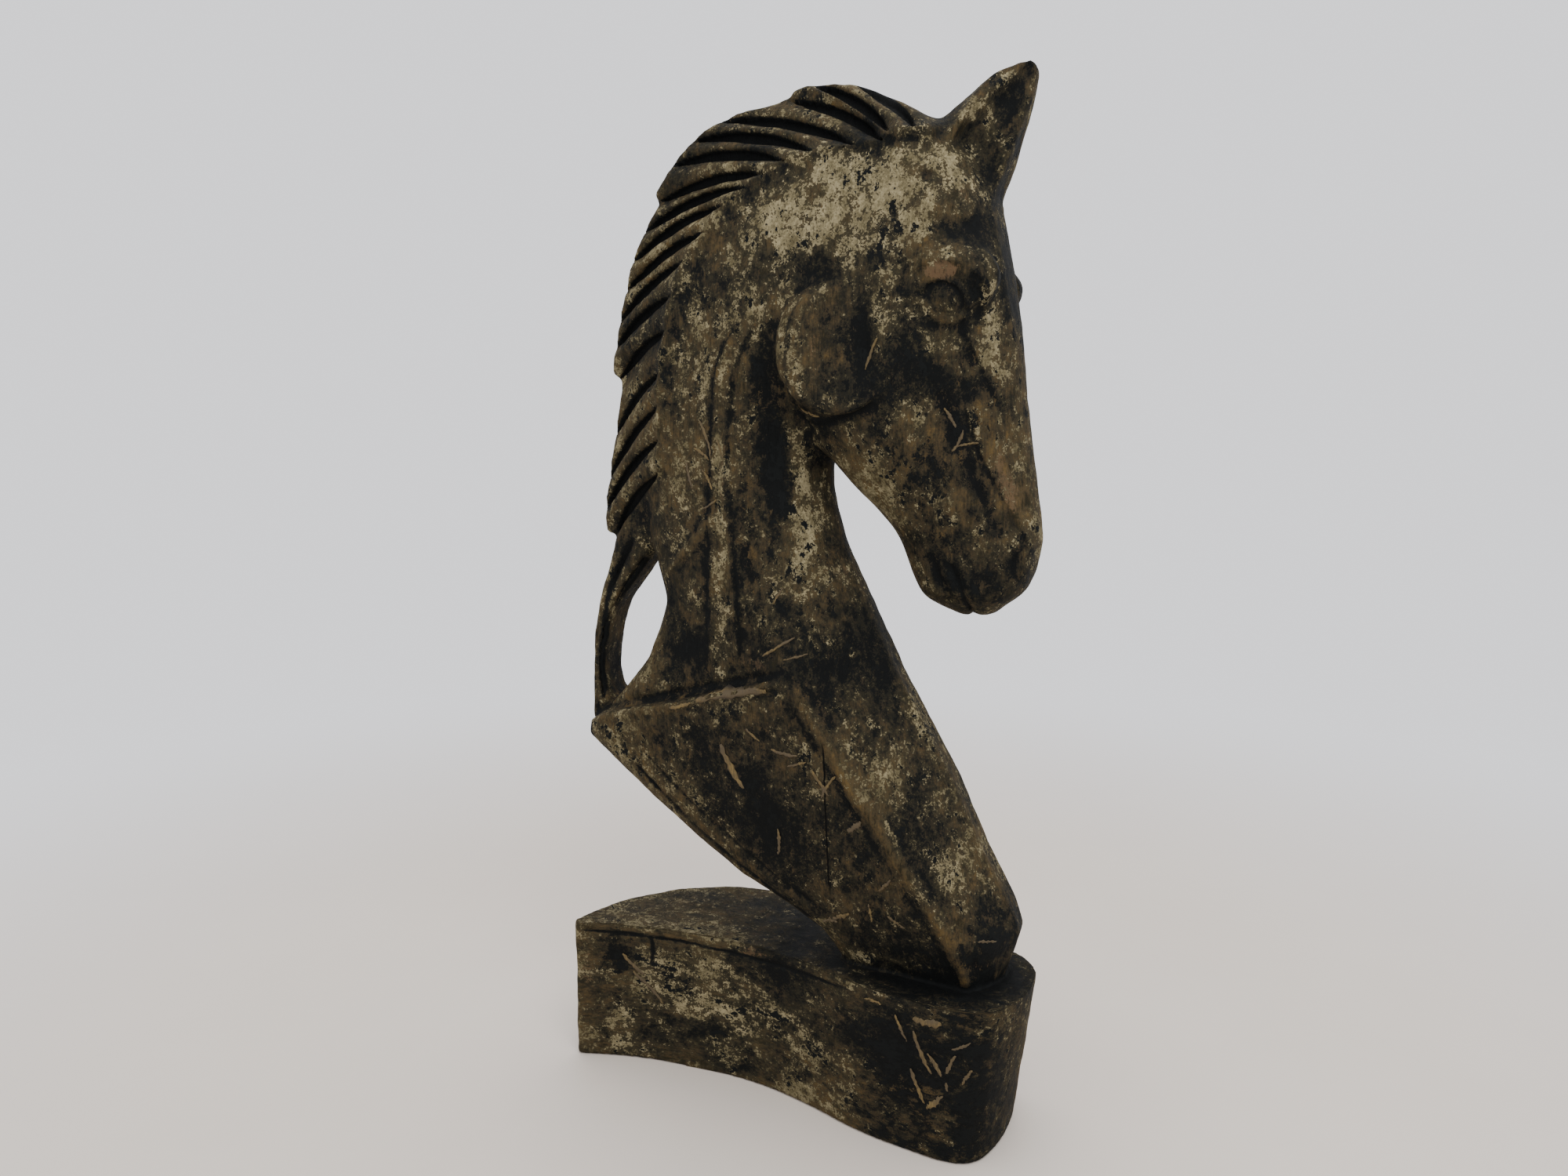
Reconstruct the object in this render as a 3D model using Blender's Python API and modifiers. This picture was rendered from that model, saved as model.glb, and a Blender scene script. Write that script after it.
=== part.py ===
"""Horse head carved from one block of driftwood, in one piece with its wave-shaped base.

The horse faces +X and its right side, the side that shows best, faces -Y. The base stands on z = 0.
The figure is the same on both sides of its own middle plane, which FIGURE_OFFSET sets beside the
base's middle. Its outline, pose and carving are shares of FIGURE_HEIGHT, measured from the base's
top; its thickness and the base have sizes of their own.
"""
from math import cos, pi, radians

import bmesh
import bpy
import numpy as np
from mathutils import Matrix, Vector

# Base
BASE_LENGTH = 0.2944
BASE_DEPTH = 0.1264
BASE_HEIGHT = 0.0913
BASE_EDGE = 0.0035
BASE_END_TAPER = 0.012

# Figure
FIGURE_HEIGHT = 0.5087
FIGURE_THICKNESS = 0.0985
FIGURE_OFFSET = (-0.0035, -0.0080)
EAR_GAP = 0.0030
MANE_EDGE = 0.022
STRAND_DEPTH = 0.0045
LOOP_THICKNESS = 0.032
EYE_RADIUS = 0.0132
MOUTH_OPENING = 0.0026
CHEEK_RELIEF = 0.0012
CHEEK_TILT = 7.0

# Finish
WOOD_COLOUR = (0.105, 0.085, 0.06, 1.0)
WOOD_ROUGHNESS = 0.85
SHARP_ANGLE = 32.0

# How finely the carving is divided
TRUNK_STEPS = 34
TRUNK_BACK_POINTS = 8
TRUNK_FRONT_POINTS = 6
HEAD_STEPS = 22
HEAD_POINTS = 13
ROWS_PER_STRAND = 4
LOOP_STEPS = 12
EAR_STEPS = 9
MOUTH_STEPS = 6
CHEEK_SIDES = 28
BALL_SIDES = 20
BALL_RINGS = 12
BASE_CURVE_STEPS = 5

# The base's plan as shares of its length and depth: its near edge, round end, far edge and thin end.
BASE_NEAR_EDGE = ((-0.372, -0.189), (-0.217, -0.170), (-0.079, -0.197), (0.052, -0.288),
                  (0.174, -0.405), (0.284, -0.471), (0.373, -0.500))
BASE_ROUND_END = ((0.438, -0.462), (0.468, -0.380), (0.500, -0.069), (0.494, 0.030), (0.441, 0.185))
BASE_FAR_EDGE = ((0.340, 0.185), (0.200, 0.190), (0.070, 0.290), (-0.060, 0.440), (-0.165, 0.500),
                 (-0.254, 0.460), (-0.350, 0.345), (-0.432, 0.151), (-0.478, -0.050))
BASE_THIN_END = ((-0.500, -0.215), (-0.489, -0.251))
# Where the taper under the round end starts, as a share of the length.
BASE_TAPER_START = 0.36

# The two outlines of the neck and chest, from the foot up, as rows of shares: back x, back z,
# front x, front z, widest half thickness, place of the widest point from back to front, roundness
# and the depth of the ledge's step. Roundness 0 is the faceted shoulder block, 1 the round neck.
TRUNK_ROWS = (
    (0.073, -0.016, 0.258, -0.016, 0.62, 0.830, 0.0, 0.0),
    (0.073, 0.000, 0.262, 0.000, 0.65, 0.830, 0.0, 0.0),
    (0.060, 0.022, 0.272, 0.030, 0.74, 0.780, 0.0, 0.0),
    (0.048, 0.038, 0.279, 0.058, 0.82, 0.750, 0.0, 0.0),
    (0.004, 0.064, 0.268, 0.088, 0.87, 0.750, 0.0, 0.0),
    (-0.044, 0.089, 0.240, 0.140, 0.92, 0.755, 0.0, 0.0),
    (-0.139, 0.156, 0.200, 0.228, 0.97, 0.765, 0.0, 0.0),
    (-0.226, 0.226, 0.155, 0.308, 0.99, 0.765, 0.0, 0.0),
    (-0.252, 0.248, 0.133, 0.348, 1.00, 0.755, 0.0, 0.0),
    (-0.251, 0.265, 0.121, 0.373, 1.00, 0.745, 0.0, 0.0),
    (-0.234, 0.278, 0.117, 0.382, 0.98, 0.740, 0.1, 0.18),
    (-0.175, 0.347, 0.094, 0.432, 0.90, 0.660, 0.5, 0.12),
    (-0.159, 0.386, 0.079, 0.465, 0.84, 0.600, 0.8, 0.06),
    (-0.149, 0.418, 0.066, 0.494, 0.80, 0.560, 1.0, 0.0),
    (-0.158, 0.452, 0.055, 0.530, 0.77, 0.550, 1.0, 0.0),
    (-0.174, 0.520, 0.049, 0.565, 0.76, 0.550, 1.0, 0.0),
    (-0.168, 0.600, 0.049, 0.598, 0.78, 0.550, 1.0, 0.0),
    (-0.160, 0.680, 0.060, 0.640, 0.80, 0.550, 1.0, 0.0),
    (-0.145, 0.760, 0.085, 0.680, 0.82, 0.550, 1.0, 0.0),
    (-0.114, 0.828, 0.115, 0.710, 0.84, 0.550, 1.0, 0.0),
    (-0.066, 0.878, 0.150, 0.740, 0.84, 0.520, 1.0, 0.0),
    (-0.010, 0.910, 0.180, 0.770, 0.82, 0.500, 1.0, 0.0),
    (0.055, 0.932, 0.200, 0.800, 0.76, 0.480, 1.0, 0.0),
    (0.120, 0.942, 0.212, 0.830, 0.68, 0.480, 1.0, 0.0),
)

# The shoulder block's half thickness: at the back edge, at the end of the narrow back band, halfway
# down the chest's slope and at the front edge, as shares of the widest.
BLOCK_SHARES = (0.44, 0.60, 0.72, 0.20)
BACK_BAND = 0.06
LEDGE_RUN = 0.25
NECK_FULLNESS = 1.9
NECK_EDGES = (0.42, 0.14)

# The head, from the poll down to the lips: jaw x, jaw z, face x, face z, half thickness, place of
# the widest point, fullness of the face and fullness of the jaw.
HEAD_ROWS = (
    (0.075, 0.925, 0.178, 0.944, 0.50, 0.55, 2.2, 1.8),
    (0.035, 0.895, 0.203, 0.917, 0.70, 0.60, 2.4, 1.5),
    (0.000, 0.850, 0.226, 0.880, 0.82, 0.64, 2.6, 1.5),
    (-0.006, 0.795, 0.241, 0.832, 0.90, 0.64, 2.6, 1.9),
    (-0.006, 0.735, 0.255, 0.755, 0.93, 0.58, 2.0, 3.0),
    (0.000, 0.685, 0.263, 0.705, 0.93, 0.50, 1.6, 3.0),
    (0.018, 0.638, 0.269, 0.650, 0.89, 0.46, 1.4, 2.8),
    (0.049, 0.592, 0.276, 0.596, 0.80, 0.48, 1.3, 2.4),
    (0.093, 0.545, 0.282, 0.556, 0.69, 0.52, 1.3, 2.2),
    (0.130, 0.506, 0.288, 0.522, 0.61, 0.56, 1.4, 2.1),
    (0.140, 0.480, 0.2895, 0.492, 0.58, 0.60, 1.7, 2.0),
    (0.148, 0.455, 0.283, 0.464, 0.56, 0.62, 2.0, 2.0),
    (0.160, 0.437, 0.271, 0.442, 0.53, 0.60, 2.2, 2.0),
    (0.178, 0.424, 0.254, 0.427, 0.44, 0.56, 2.2, 2.0),
    (0.202, 0.416, 0.236, 0.417, 0.26, 0.52, 2.2, 2.0),
)

HEAD_EDGES = (0.22, 0.10)

# The mane's strands from the forehead back: strand number, then the outer and the inner end of the
# groove before that strand. The outer edge steps inwards from each row in MANE_STEPS to the next.
MANE_ROWS = (
    (0.00, 0.176, 0.942, 0.178, 0.930),
    (1.00, 0.079, 0.989, 0.155, 0.929),
    (2.00, 0.030, 0.994, 0.128, 0.927),
    (2.75, 0.009, 0.995, 0.123, 0.923),
    (3.00, 0.001, 0.983, 0.119, 0.920),
    (4.00, -0.082, 0.965, 0.091, 0.917),
    (5.00, -0.116, 0.946, 0.045, 0.914),
    (6.00, -0.143, 0.921, 0.011, 0.907),
    (6.75, -0.166, 0.894, -0.005, 0.899),
    (7.00, -0.159, 0.879, -0.011, 0.895),
    (8.00, -0.179, 0.848, -0.034, 0.883),
    (9.00, -0.195, 0.815, -0.060, 0.865),
    (10.00, -0.204, 0.782, -0.083, 0.838),
    (11.00, -0.213, 0.746, -0.108, 0.808),
    (12.00, -0.219, 0.716, -0.123, 0.771),
    (12.75, -0.227, 0.689, -0.130, 0.742),
    (13.00, -0.212, 0.678, -0.132, 0.732),
    (14.00, -0.222, 0.614, -0.140, 0.686),
    (15.00, -0.231, 0.560, -0.142, 0.648),
    (16.00, -0.237, 0.522, -0.142, 0.610),
    (16.75, -0.240, 0.496, -0.143, 0.580),
    (17.00, -0.224, 0.493, -0.144, 0.570),
)
MANE_STEPS = (3, 8, 15, 20)
# The last strand hangs free of the neck as a loop down to the shoulder: outer x, outer z, inner x,
# inner z from the mane to the shoulder's corner.
LOOP_ROWS = (
    (-0.223, 0.490, -0.150, 0.532),
    (-0.233, 0.457, -0.168, 0.478),
    (-0.245, 0.418, -0.198, 0.438),
    (-0.251, 0.379, -0.226, 0.396),
    (-0.253, 0.339, -0.238, 0.345),
    (-0.255, 0.299, -0.236, 0.304),
    (-0.258, 0.262, -0.216, 0.276),
    (-0.248, 0.246, -0.206, 0.256),
)
MANE_BULGE = 0.009
MANE_BULGE_LENGTH = 0.16
MANE_ROOT = 0.72
MANE_ROOT_DRAW = 0.85
MANE_TAPER = 0.8
MANE_TUCK = 0.035
MANE_CENTRE = (0.080, 0.700)
# Points along a strand from the neck outwards, how deep its groove is at four places along it, and
# the half thickness across the free loop at each point.
STRAND_POINTS = (0.0, 0.0, 0.12, 0.35, 0.62, 0.86, 1.0)
GROOVE_PLACES = (0.0, 0.12, 0.86, 1.0)
GROOVE_DEPTHS = (0.4, 1.0, 0.9, 0.5)
LOOP_SHAPE = (0.55, 0.66, 0.95, 1.0, 0.86, 0.95, 0.62)
LOOP_TUCK = 0.02

# The ear from its root to its tip: back x, back z, front x, front z, spread of its outer rim.
EAR_ROWS = (
    (0.118, 0.872, 0.206, 0.806, 0.86),
    (0.132, 0.900, 0.224, 0.842, 0.94),
    (0.150, 0.925, 0.234, 0.868, 0.94),
    (0.170, 0.945, 0.243, 0.890, 0.86),
    (0.190, 0.963, 0.253, 0.918, 0.72),
    (0.214, 0.978, 0.261, 0.943, 0.58),
    (0.245, 0.991, 0.268, 0.968, 0.42),
    (0.262, 1.000, 0.272, 0.993, 0.28),
)
EAR_SPREAD = 0.56
# The ear's section from back to front: places, and how far out the surface stands at each. The
# third place is the rim behind the hollow.
EAR_PLACES = (0.0, 0.12, 0.30, 0.45, 0.72, 1.0)
EAR_SECTION = (0.40, 0.72, 1.0, 0.50, 0.40, 0.58)

# The eye, the brow above it and the socket between them. Places and radii are in the side view;
# depths are shares of the half thickness.
EYE_PLACE = (0.194, 0.750)
EYE_DEPTH = 0.63
BROW_PLACE = (0.197, 0.775)
BROW_RADII = (0.027, 0.014, 0.020)
BROW_DEPTH = 0.70
SOCKET_PLACE = (0.205, 0.752)
SOCKET_RADII = (0.021, 0.010, 0.0135)
SOCKET_DEPTH = 0.99
FACE_LEAN = 20.0

CHEEK_PLACE = (0.078, 0.706)
CHEEK_RADIUS = 0.074
CHEEK_DRAW = 0.93
CHEEK_ROOT = 0.5
CHEEK_FACE = 0.93
CHEEK_AXIS = (0.6, 0.0, -0.8)
NOSTRIL_PLACE = (0.270, 0.489)
NOSTRIL_RADII = (0.0050, 0.0050, 0.0105)
NOSTRIL_DEPTH = 0.44
MOUTH_LINE = ((0.172, 0.498), (0.192, 0.466), (0.216, 0.424), (0.228, 0.400))
MOUTH_CORNER = 0.35
MOUTH_REACH = 1.2

half_thickness = FIGURE_THICKNESS / 2


def place(x, z):
    """World x and z of a point given as shares of the figure's height."""
    return FIGURE_OFFSET[0] + x * FIGURE_HEIGHT, BASE_HEIGHT + z * FIGURE_HEIGHT


def beside(y):
    """World y of a point at a distance y from the figure's own middle plane."""
    return FIGURE_OFFSET[1] + y


def through(rows, count, corners=()):
    """Rows read from the smooth curve through the given rows, all columns at once.

    Count is how many rows are read at even steps, or the row numbers, whole or not, to read at. The
    curve bends at the rows whose numbers are in corners.
    """
    table = np.array(rows, float)
    middles = table[:, :2]
    if table.shape[1] > 3:
        middles = (table[:, :2] + table[:, 2:4]) / 2
    gaps = np.maximum(np.linalg.norm(np.diff(middles, axis=0), axis=1), 1e-6)
    knots = np.concatenate(([0.0], np.cumsum(gaps)))
    slopes = np.gradient(table, knots, axis=0)
    if np.ndim(count):
        where = np.interp(count, np.arange(len(table)), knots)
    else:
        where = np.linspace(0.0, knots[-1], count)
    if corners and not np.ndim(count):
        where = np.unique(np.concatenate((where, knots[list(corners)])))
    cell = np.clip(np.searchsorted(knots, where, side="right") - 1, 0, len(table) - 2)
    width = (knots[cell + 1] - knots[cell])[:, None]
    t = (where - knots[cell])[:, None] / width
    start = slopes[cell].copy()
    end = slopes[cell + 1].copy()
    straight = (table[cell + 1] - table[cell]) / width
    for corner in corners:
        start[cell == corner] = straight[cell == corner]
        end[cell + 1 == corner] = straight[cell + 1 == corner]
    return (table[cell] * (2 * t**3 - 3 * t**2 + 1) + table[cell + 1] * (3 * t**2 - 2 * t**3)
            + start * width * (t**3 - 2 * t**2 + t) + end * width * (t**3 - t**2))


def add_mesh(name, mesh):
    """A new object in the scene for a bmesh, with its faces turned outwards."""
    bmesh.ops.recalc_face_normals(mesh, faces=mesh.faces)
    data = bpy.data.meshes.new(name)
    mesh.to_mesh(data)
    mesh.free()
    data.shade_smooth()
    data.set_sharp_from_angle(angle=radians(SHARP_ANGLE))
    body = bpy.data.objects.new(name, data)
    bpy.context.scene.collection.objects.link(body)
    return body


def loft(name, rings):
    """A closed body through a list of rings with the same number of points."""
    mesh = bmesh.new()
    loops = [[mesh.verts.new(point) for point in ring] for ring in rings]
    for low, high in zip(loops, loops[1:]):
        for i, corner in enumerate(low):
            j = (i + 1) % len(low)
            mesh.faces.new((corner, low[j], high[j], high[i]))
    caps = [mesh.faces.new(loops[0][::-1]), mesh.faces.new(loops[-1])]
    bmesh.ops.triangulate(mesh, faces=caps)
    return add_mesh(name, mesh)


def mirrored_ring(along, across, back, front):
    """A ring of points from back to front on one side and back again on the other.

    The first and the last point of a side are shared where its half thickness there is nothing.
    """
    xs = back[0] + (front[0] - back[0]) * along
    zs = back[1] + (front[1] - back[1]) * along
    near = [(x, beside(-y), z) for x, y, z in zip(xs, across, zs)]
    far = [(x, beside(y), z) for x, y, z in zip(xs[::-1], across[::-1], zs[::-1])]
    return near + far


def block_profile(widest, along):
    """Half thickness of the shoulder block: a narrow back band, a flat side and the chest's slope."""
    edge, band, chest, front = BLOCK_SHARES
    places = (0.0, BACK_BAND, widest, (1 + widest) / 2, 1.0)
    return np.interp(along, places, (edge, band, 1.0, chest, front))


def round_profile(widest, along, back_fullness, front_fullness, edges):
    """Half thickness of a round section with its widest point at the share widest.

    A higher fullness keeps it thick for longer, and edges are its shares at the back and front.
    """
    back_edge, front_edge = edges
    behind = np.clip((widest - along) / widest, 0.0, 1.0)
    ahead = np.clip((along - widest) / (1.0 - widest), 0.0, 1.0)
    back = back_edge + (1 - back_edge) * np.sqrt(1 - behind**back_fullness)
    front = front_edge + (1 - front_edge) * np.sqrt(1 - ahead**front_fullness)
    return np.where(along < widest, back, front)


def trunk():
    """Foot, faceted shoulder block, chest and neck, up to the poll."""
    rings = []
    for row in through(TRUNK_ROWS, TRUNK_STEPS, corners=(1, 3, 8, 9, 10)):
        back_x, back_z, front_x, front_z, half, widest, roundness, step = row
        behind = np.linspace(0, widest, TRUNK_BACK_POINTS)
        ahead = np.linspace(widest, 1, TRUNK_FRONT_POINTS)
        along = np.concatenate((behind, ahead[1:]))
        along[1] = BACK_BAND
        roundness = min(max(roundness, 0.0), 1.0)
        flat = block_profile(widest, along)
        curved = round_profile(widest, along, NECK_FULLNESS, NECK_FULLNESS, NECK_EDGES)
        ledge = 1 - step * np.clip((widest - along) / LEDGE_RUN, 0, 1)
        across = half_thickness * half * (flat * (1 - roundness) + curved * roundness) * ledge
        rings.append(mirrored_ring(along, across, place(back_x, back_z), place(front_x, front_z)))
    return loft("trunk", rings)


def head():
    """The head from the poll to the lips, without its cheeks, brows and ears."""
    rings = []
    even = (1 - np.cos(np.linspace(0, pi, HEAD_POINTS))) / 2
    for row in through(HEAD_ROWS, HEAD_STEPS):
        jaw_x, jaw_z, face_x, face_z, half, widest, face_full, jaw_full = row
        shape = round_profile(widest, even, jaw_full, face_full, HEAD_EDGES)
        across = half_thickness * half * shape
        rings.append(mirrored_ring(even, across, place(jaw_x, jaw_z), place(face_x, face_z)))
    return loft("head", rings)


def strand_rows():
    """The mane's rows across its strands: outer point, inner point and groove depth, 0 to 1."""
    table = np.array(MANE_ROWS)
    numbers = np.linspace(0.0, table[-1, 0], int(table[-1, 0]) * ROWS_PER_STRAND + 1)
    places = np.interp(numbers, table[:, 0], np.arange(len(table)))
    corners = [row + i for row in MANE_STEPS for i in (0, 1) if row + i < len(table) - 1]
    ends = through(table[:, 1:], places, corners)
    return [(end[:2], end[2:], 0.5 + 0.5 * cos(2 * pi * number))
            for end, number in zip(ends, numbers)]


def strand_ring(line, across):
    """The ring of one mane row from its points, as shares, and their half thicknesses."""
    points = [place(x, z) for x, z in line]
    near = [(x, beside(-y), z) for (x, z), y in zip(points, across)]
    far = [(x, beside(y), z) for (x, z), y in zip(points[::-1], across[::-1])]
    return near + far


def mane():
    """The mane: strands between the neck and the stepped outer edge, and the loop of the last one."""
    rings = []
    shares = np.array(STRAND_POINTS)
    root = half_thickness * MANE_ROOT
    for outer, inner, groove in strand_rows():
        thickness = root + (MANE_EDGE / 2 - root) * shares**MANE_TAPER
        cut = STRAND_DEPTH * groove * np.interp(shares, GROOVE_PLACES, GROOVE_DEPTHS)
        length = np.linalg.norm(outer - inner)
        bulge = MANE_BULGE * min(1.0, length / MANE_BULGE_LENGTH) * 4 * shares * (1 - shares)
        run = (outer - inner) / length
        line = inner[None, :] + (outer - inner)[None, :] * shares[:, None]
        line += bulge[:, None] * np.array((run[1], -run[0]))[None, :]
        inward = np.array(MANE_CENTRE) - inner
        line[0] = inner + MANE_TUCK * inward / np.linalg.norm(inward)
        across = thickness - cut
        across[0] *= MANE_ROOT_DRAW
        rings.append(strand_ring(line, across))
    for outer_x, outer_z, inner_x, inner_z in through(LOOP_ROWS, LOOP_STEPS):
        inner = np.array((inner_x, inner_z))
        outer = np.array((outer_x, outer_z))
        line = inner[None, :] + (outer - inner)[None, :] * shares[:, None]
        line[0] = inner + (inner - outer) * LOOP_TUCK
        rings.append(strand_ring(line, LOOP_THICKNESS / 2 * np.array(LOOP_SHAPE)))
    return loft("mane", rings)


def ear(side):
    """One ear, cupped towards its own side, with a rim behind the hollow."""
    rings = []
    across = np.array(EAR_SECTION)
    along = np.array(EAR_PLACES)
    for back_x, back_z, front_x, front_z, spread in through(EAR_ROWS, EAR_STEPS):
        back = np.array(place(back_x, back_z))
        front = np.array(place(front_x, front_z))
        line = back[None, :] + (front - back)[None, :] * along[:, None]
        outer = EAR_GAP / 2 + half_thickness * EAR_SPREAD * spread * across
        ring = [(x, beside(side * y), z) for (x, z), y in zip(line, outer)]
        ring += [(x, beside(side * EAR_GAP / 2), z) for x, z in (line[5], line[3], line[1])]
        rings.append(ring)
    return loft("ear", rings)


def ball(name, centre, depth, radii, turn=0.0):
    """An egg-shaped body with its own radii and turn in degrees about Y.

    Its middle is a place on the figure, at a share depth of the half thickness to one side.
    """
    x, z = place(*centre)
    mesh = bmesh.new()
    bmesh.ops.create_uvsphere(mesh, u_segments=BALL_SIDES, v_segments=BALL_RINGS, radius=1.0)
    shape = Matrix.Rotation(radians(turn), 4, "Y") @ Matrix.Diagonal((*radii, 1.0))
    bmesh.ops.transform(mesh, matrix=shape, verts=mesh.verts)
    bmesh.ops.translate(mesh, vec=(x, beside(depth * half_thickness), z), verts=mesh.verts)
    return add_mesh(name, mesh)


def cheek(side):
    """The flat round cheek, a low disc whose lower back edge stands proud of the jaw."""
    x, z = place(*CHEEK_PLACE)
    radius = CHEEK_RADIUS * FIGURE_HEIGHT
    inner = half_thickness * CHEEK_ROOT
    outer = half_thickness * CHEEK_FACE + CHEEK_RELIEF
    mesh = bmesh.new()
    bmesh.ops.create_cone(mesh, cap_ends=True, segments=CHEEK_SIDES, radius1=radius,
                          radius2=radius * CHEEK_DRAW, depth=outer - inner)
    bmesh.ops.rotate(mesh, matrix=Matrix.Rotation(side * -pi / 2, 3, "X"), verts=mesh.verts)
    lean = Matrix.Rotation(side * radians(CHEEK_TILT), 3, Vector(CHEEK_AXIS))
    bmesh.ops.rotate(mesh, matrix=lean, verts=mesh.verts)
    bmesh.ops.translate(mesh, vec=Vector((x, beside(side * (inner + outer) / 2), z)),
                        verts=mesh.verts)
    return add_mesh("cheek", mesh)


def mouth():
    """The cutter for the slit between the lips."""
    points = [place(x, z) for x, z in through(MOUTH_LINE, MOUTH_STEPS)]
    y = half_thickness * MOUTH_REACH
    rings = []
    for (x, z), opening in zip(points, np.linspace(MOUTH_CORNER, 1.0, MOUTH_STEPS)):
        gap = MOUTH_OPENING / 2 * opening
        rings.append([(x - gap, beside(-y), z - gap / 2), (x + gap, beside(-y), z + gap / 2),
                      (x + gap, beside(y), z + gap / 2), (x - gap, beside(y), z - gap / 2)])
    return loft("mouth", rings)


def base():
    """The wave-shaped base: its plan carried up to its height, the round end drawn in below."""
    data = bpy.data.curves.new("base", "CURVE")
    data.dimensions = "2D"
    data.fill_mode = "BOTH"
    data.extrude = BASE_HEIGHT / 2
    data.resolution_u = BASE_CURVE_STEPS
    outline = BASE_NEAR_EDGE + BASE_ROUND_END + BASE_FAR_EDGE + BASE_THIN_END
    spline = data.splines.new("BEZIER")
    spline.use_cyclic_u = True
    spline.bezier_points.add(len(outline) - 1)
    for point, (x, y) in zip(spline.bezier_points, outline):
        point.co = (x * BASE_LENGTH, y * BASE_DEPTH, 0.0)
        kind = "VECTOR" if (x, y) in BASE_THIN_END else "AUTO"
        point.handle_left_type = kind
        point.handle_right_type = kind
    guide = bpy.data.objects.new("base", data)
    bpy.context.scene.collection.objects.link(guide)
    graph = bpy.context.evaluated_depsgraph_get()
    mesh = bmesh.new()
    mesh.from_mesh(bpy.data.meshes.new_from_object(guide.evaluated_get(graph)))
    bpy.data.objects.remove(guide)
    bmesh.ops.remove_doubles(mesh, verts=mesh.verts, dist=1e-5)
    bmesh.ops.translate(mesh, vec=(0, 0, BASE_HEIGHT / 2), verts=mesh.verts)
    for vert in mesh.verts:
        past = vert.co.x / BASE_LENGTH - BASE_TAPER_START
        end = min(max(past / (0.5 - BASE_TAPER_START), 0.0), 1.0)
        vert.co.x -= BASE_END_TAPER * end * (1 - vert.co.z / BASE_HEIGHT)
    return add_mesh("base", mesh)


def wood():
    """Dark stained, weathered wood."""
    finish = bpy.data.materials.new("weathered_wood")
    finish.use_nodes = True
    shader = finish.node_tree.nodes["Principled BSDF"]
    shader.inputs["Base Color"].default_value = WOOD_COLOUR
    shader.inputs["Roughness"].default_value = WOOD_ROUGHNESS
    shader.inputs["Metallic"].default_value = 0.0
    return finish


def combine(body, tool, operation, solver="EXACT"):
    """A Boolean modifier on body with a hidden tool object."""
    step = body.modifiers.new(tool.name, "BOOLEAN")
    step.operation = operation
    step.solver = solver
    step.object = tool
    tool.hide_render = True
    tool.display_type = "WIRE"


def main():
    for item in list(bpy.data.objects):
        bpy.data.objects.remove(item)
    parts = bpy.data.collections.new("driftwood_horse_head")
    cutters = bpy.data.collections.new("cutters")
    for group in (parts, cutters):
        bpy.context.scene.collection.children.link(group)

    carving = base()
    carving.name = "horse_head_carving"
    carving.data.materials.append(wood())
    edges = carving.modifiers.new("worn_edges", "BEVEL")
    edges.width = BASE_EDGE
    edges.segments = 2
    edges.limit_method = "ANGLE"
    edges.angle_limit = radians(40)

    joined = [trunk(), head()]
    thin = [mane()]
    cut = [mouth()]
    inset = []
    for side in (-1, 1):
        thin.append(ear(side))
        joined.append(cheek(side))
        joined.append(ball("brow", BROW_PLACE, side * BROW_DEPTH, BROW_RADII))
        cut.append(ball("socket", SOCKET_PLACE, side * SOCKET_DEPTH, SOCKET_RADII, FACE_LEAN))
        cut.append(ball("nostril", NOSTRIL_PLACE, side * NOSTRIL_DEPTH, NOSTRIL_RADII, FACE_LEAN))
        inset.append(ball("eye", EYE_PLACE, side * EYE_DEPTH, (EYE_RADIUS,) * 3))
    for tool in joined:
        combine(carving, tool, "UNION")
    # The exact solver loses the body where the grazing faces of the mane and the ears meet it.
    for tool in thin:
        combine(carving, tool, "UNION", "MANIFOLD")
    for tool in cut:
        combine(carving, tool, "DIFFERENCE")
    for tool in inset:
        combine(carving, tool, "UNION")
    for tool in joined + thin + cut + inset:
        bpy.context.scene.collection.objects.unlink(tool)
        cutters.objects.link(tool)
    bpy.context.scene.collection.objects.unlink(carving)
    parts.objects.link(carving)


main()
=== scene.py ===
import math

import bmesh
import bpy
import numpy as np
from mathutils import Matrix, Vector


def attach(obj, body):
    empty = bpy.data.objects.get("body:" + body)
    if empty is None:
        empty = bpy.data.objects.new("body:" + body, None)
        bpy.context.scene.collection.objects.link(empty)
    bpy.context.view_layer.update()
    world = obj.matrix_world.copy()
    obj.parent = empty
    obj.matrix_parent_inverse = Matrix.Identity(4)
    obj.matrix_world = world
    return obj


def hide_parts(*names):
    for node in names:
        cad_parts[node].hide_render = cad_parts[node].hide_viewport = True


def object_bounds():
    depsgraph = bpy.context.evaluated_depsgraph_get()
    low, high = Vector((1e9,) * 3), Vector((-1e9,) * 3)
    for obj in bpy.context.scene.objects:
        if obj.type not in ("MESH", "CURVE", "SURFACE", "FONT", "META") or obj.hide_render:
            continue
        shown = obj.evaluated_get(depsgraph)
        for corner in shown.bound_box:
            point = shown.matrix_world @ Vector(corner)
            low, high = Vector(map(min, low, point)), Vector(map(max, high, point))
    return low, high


bl_info = {
    "name": "Driftwood Horse Head",
    "version": (1, 0, 0),
    "blender": (4, 5, 0),
    "location": "View3D > Sidebar > Horse Head",
    "description": "Carved and weathered surface of a driftwood horse head, with a plain studio",
    "category": "Object",
}

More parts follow.
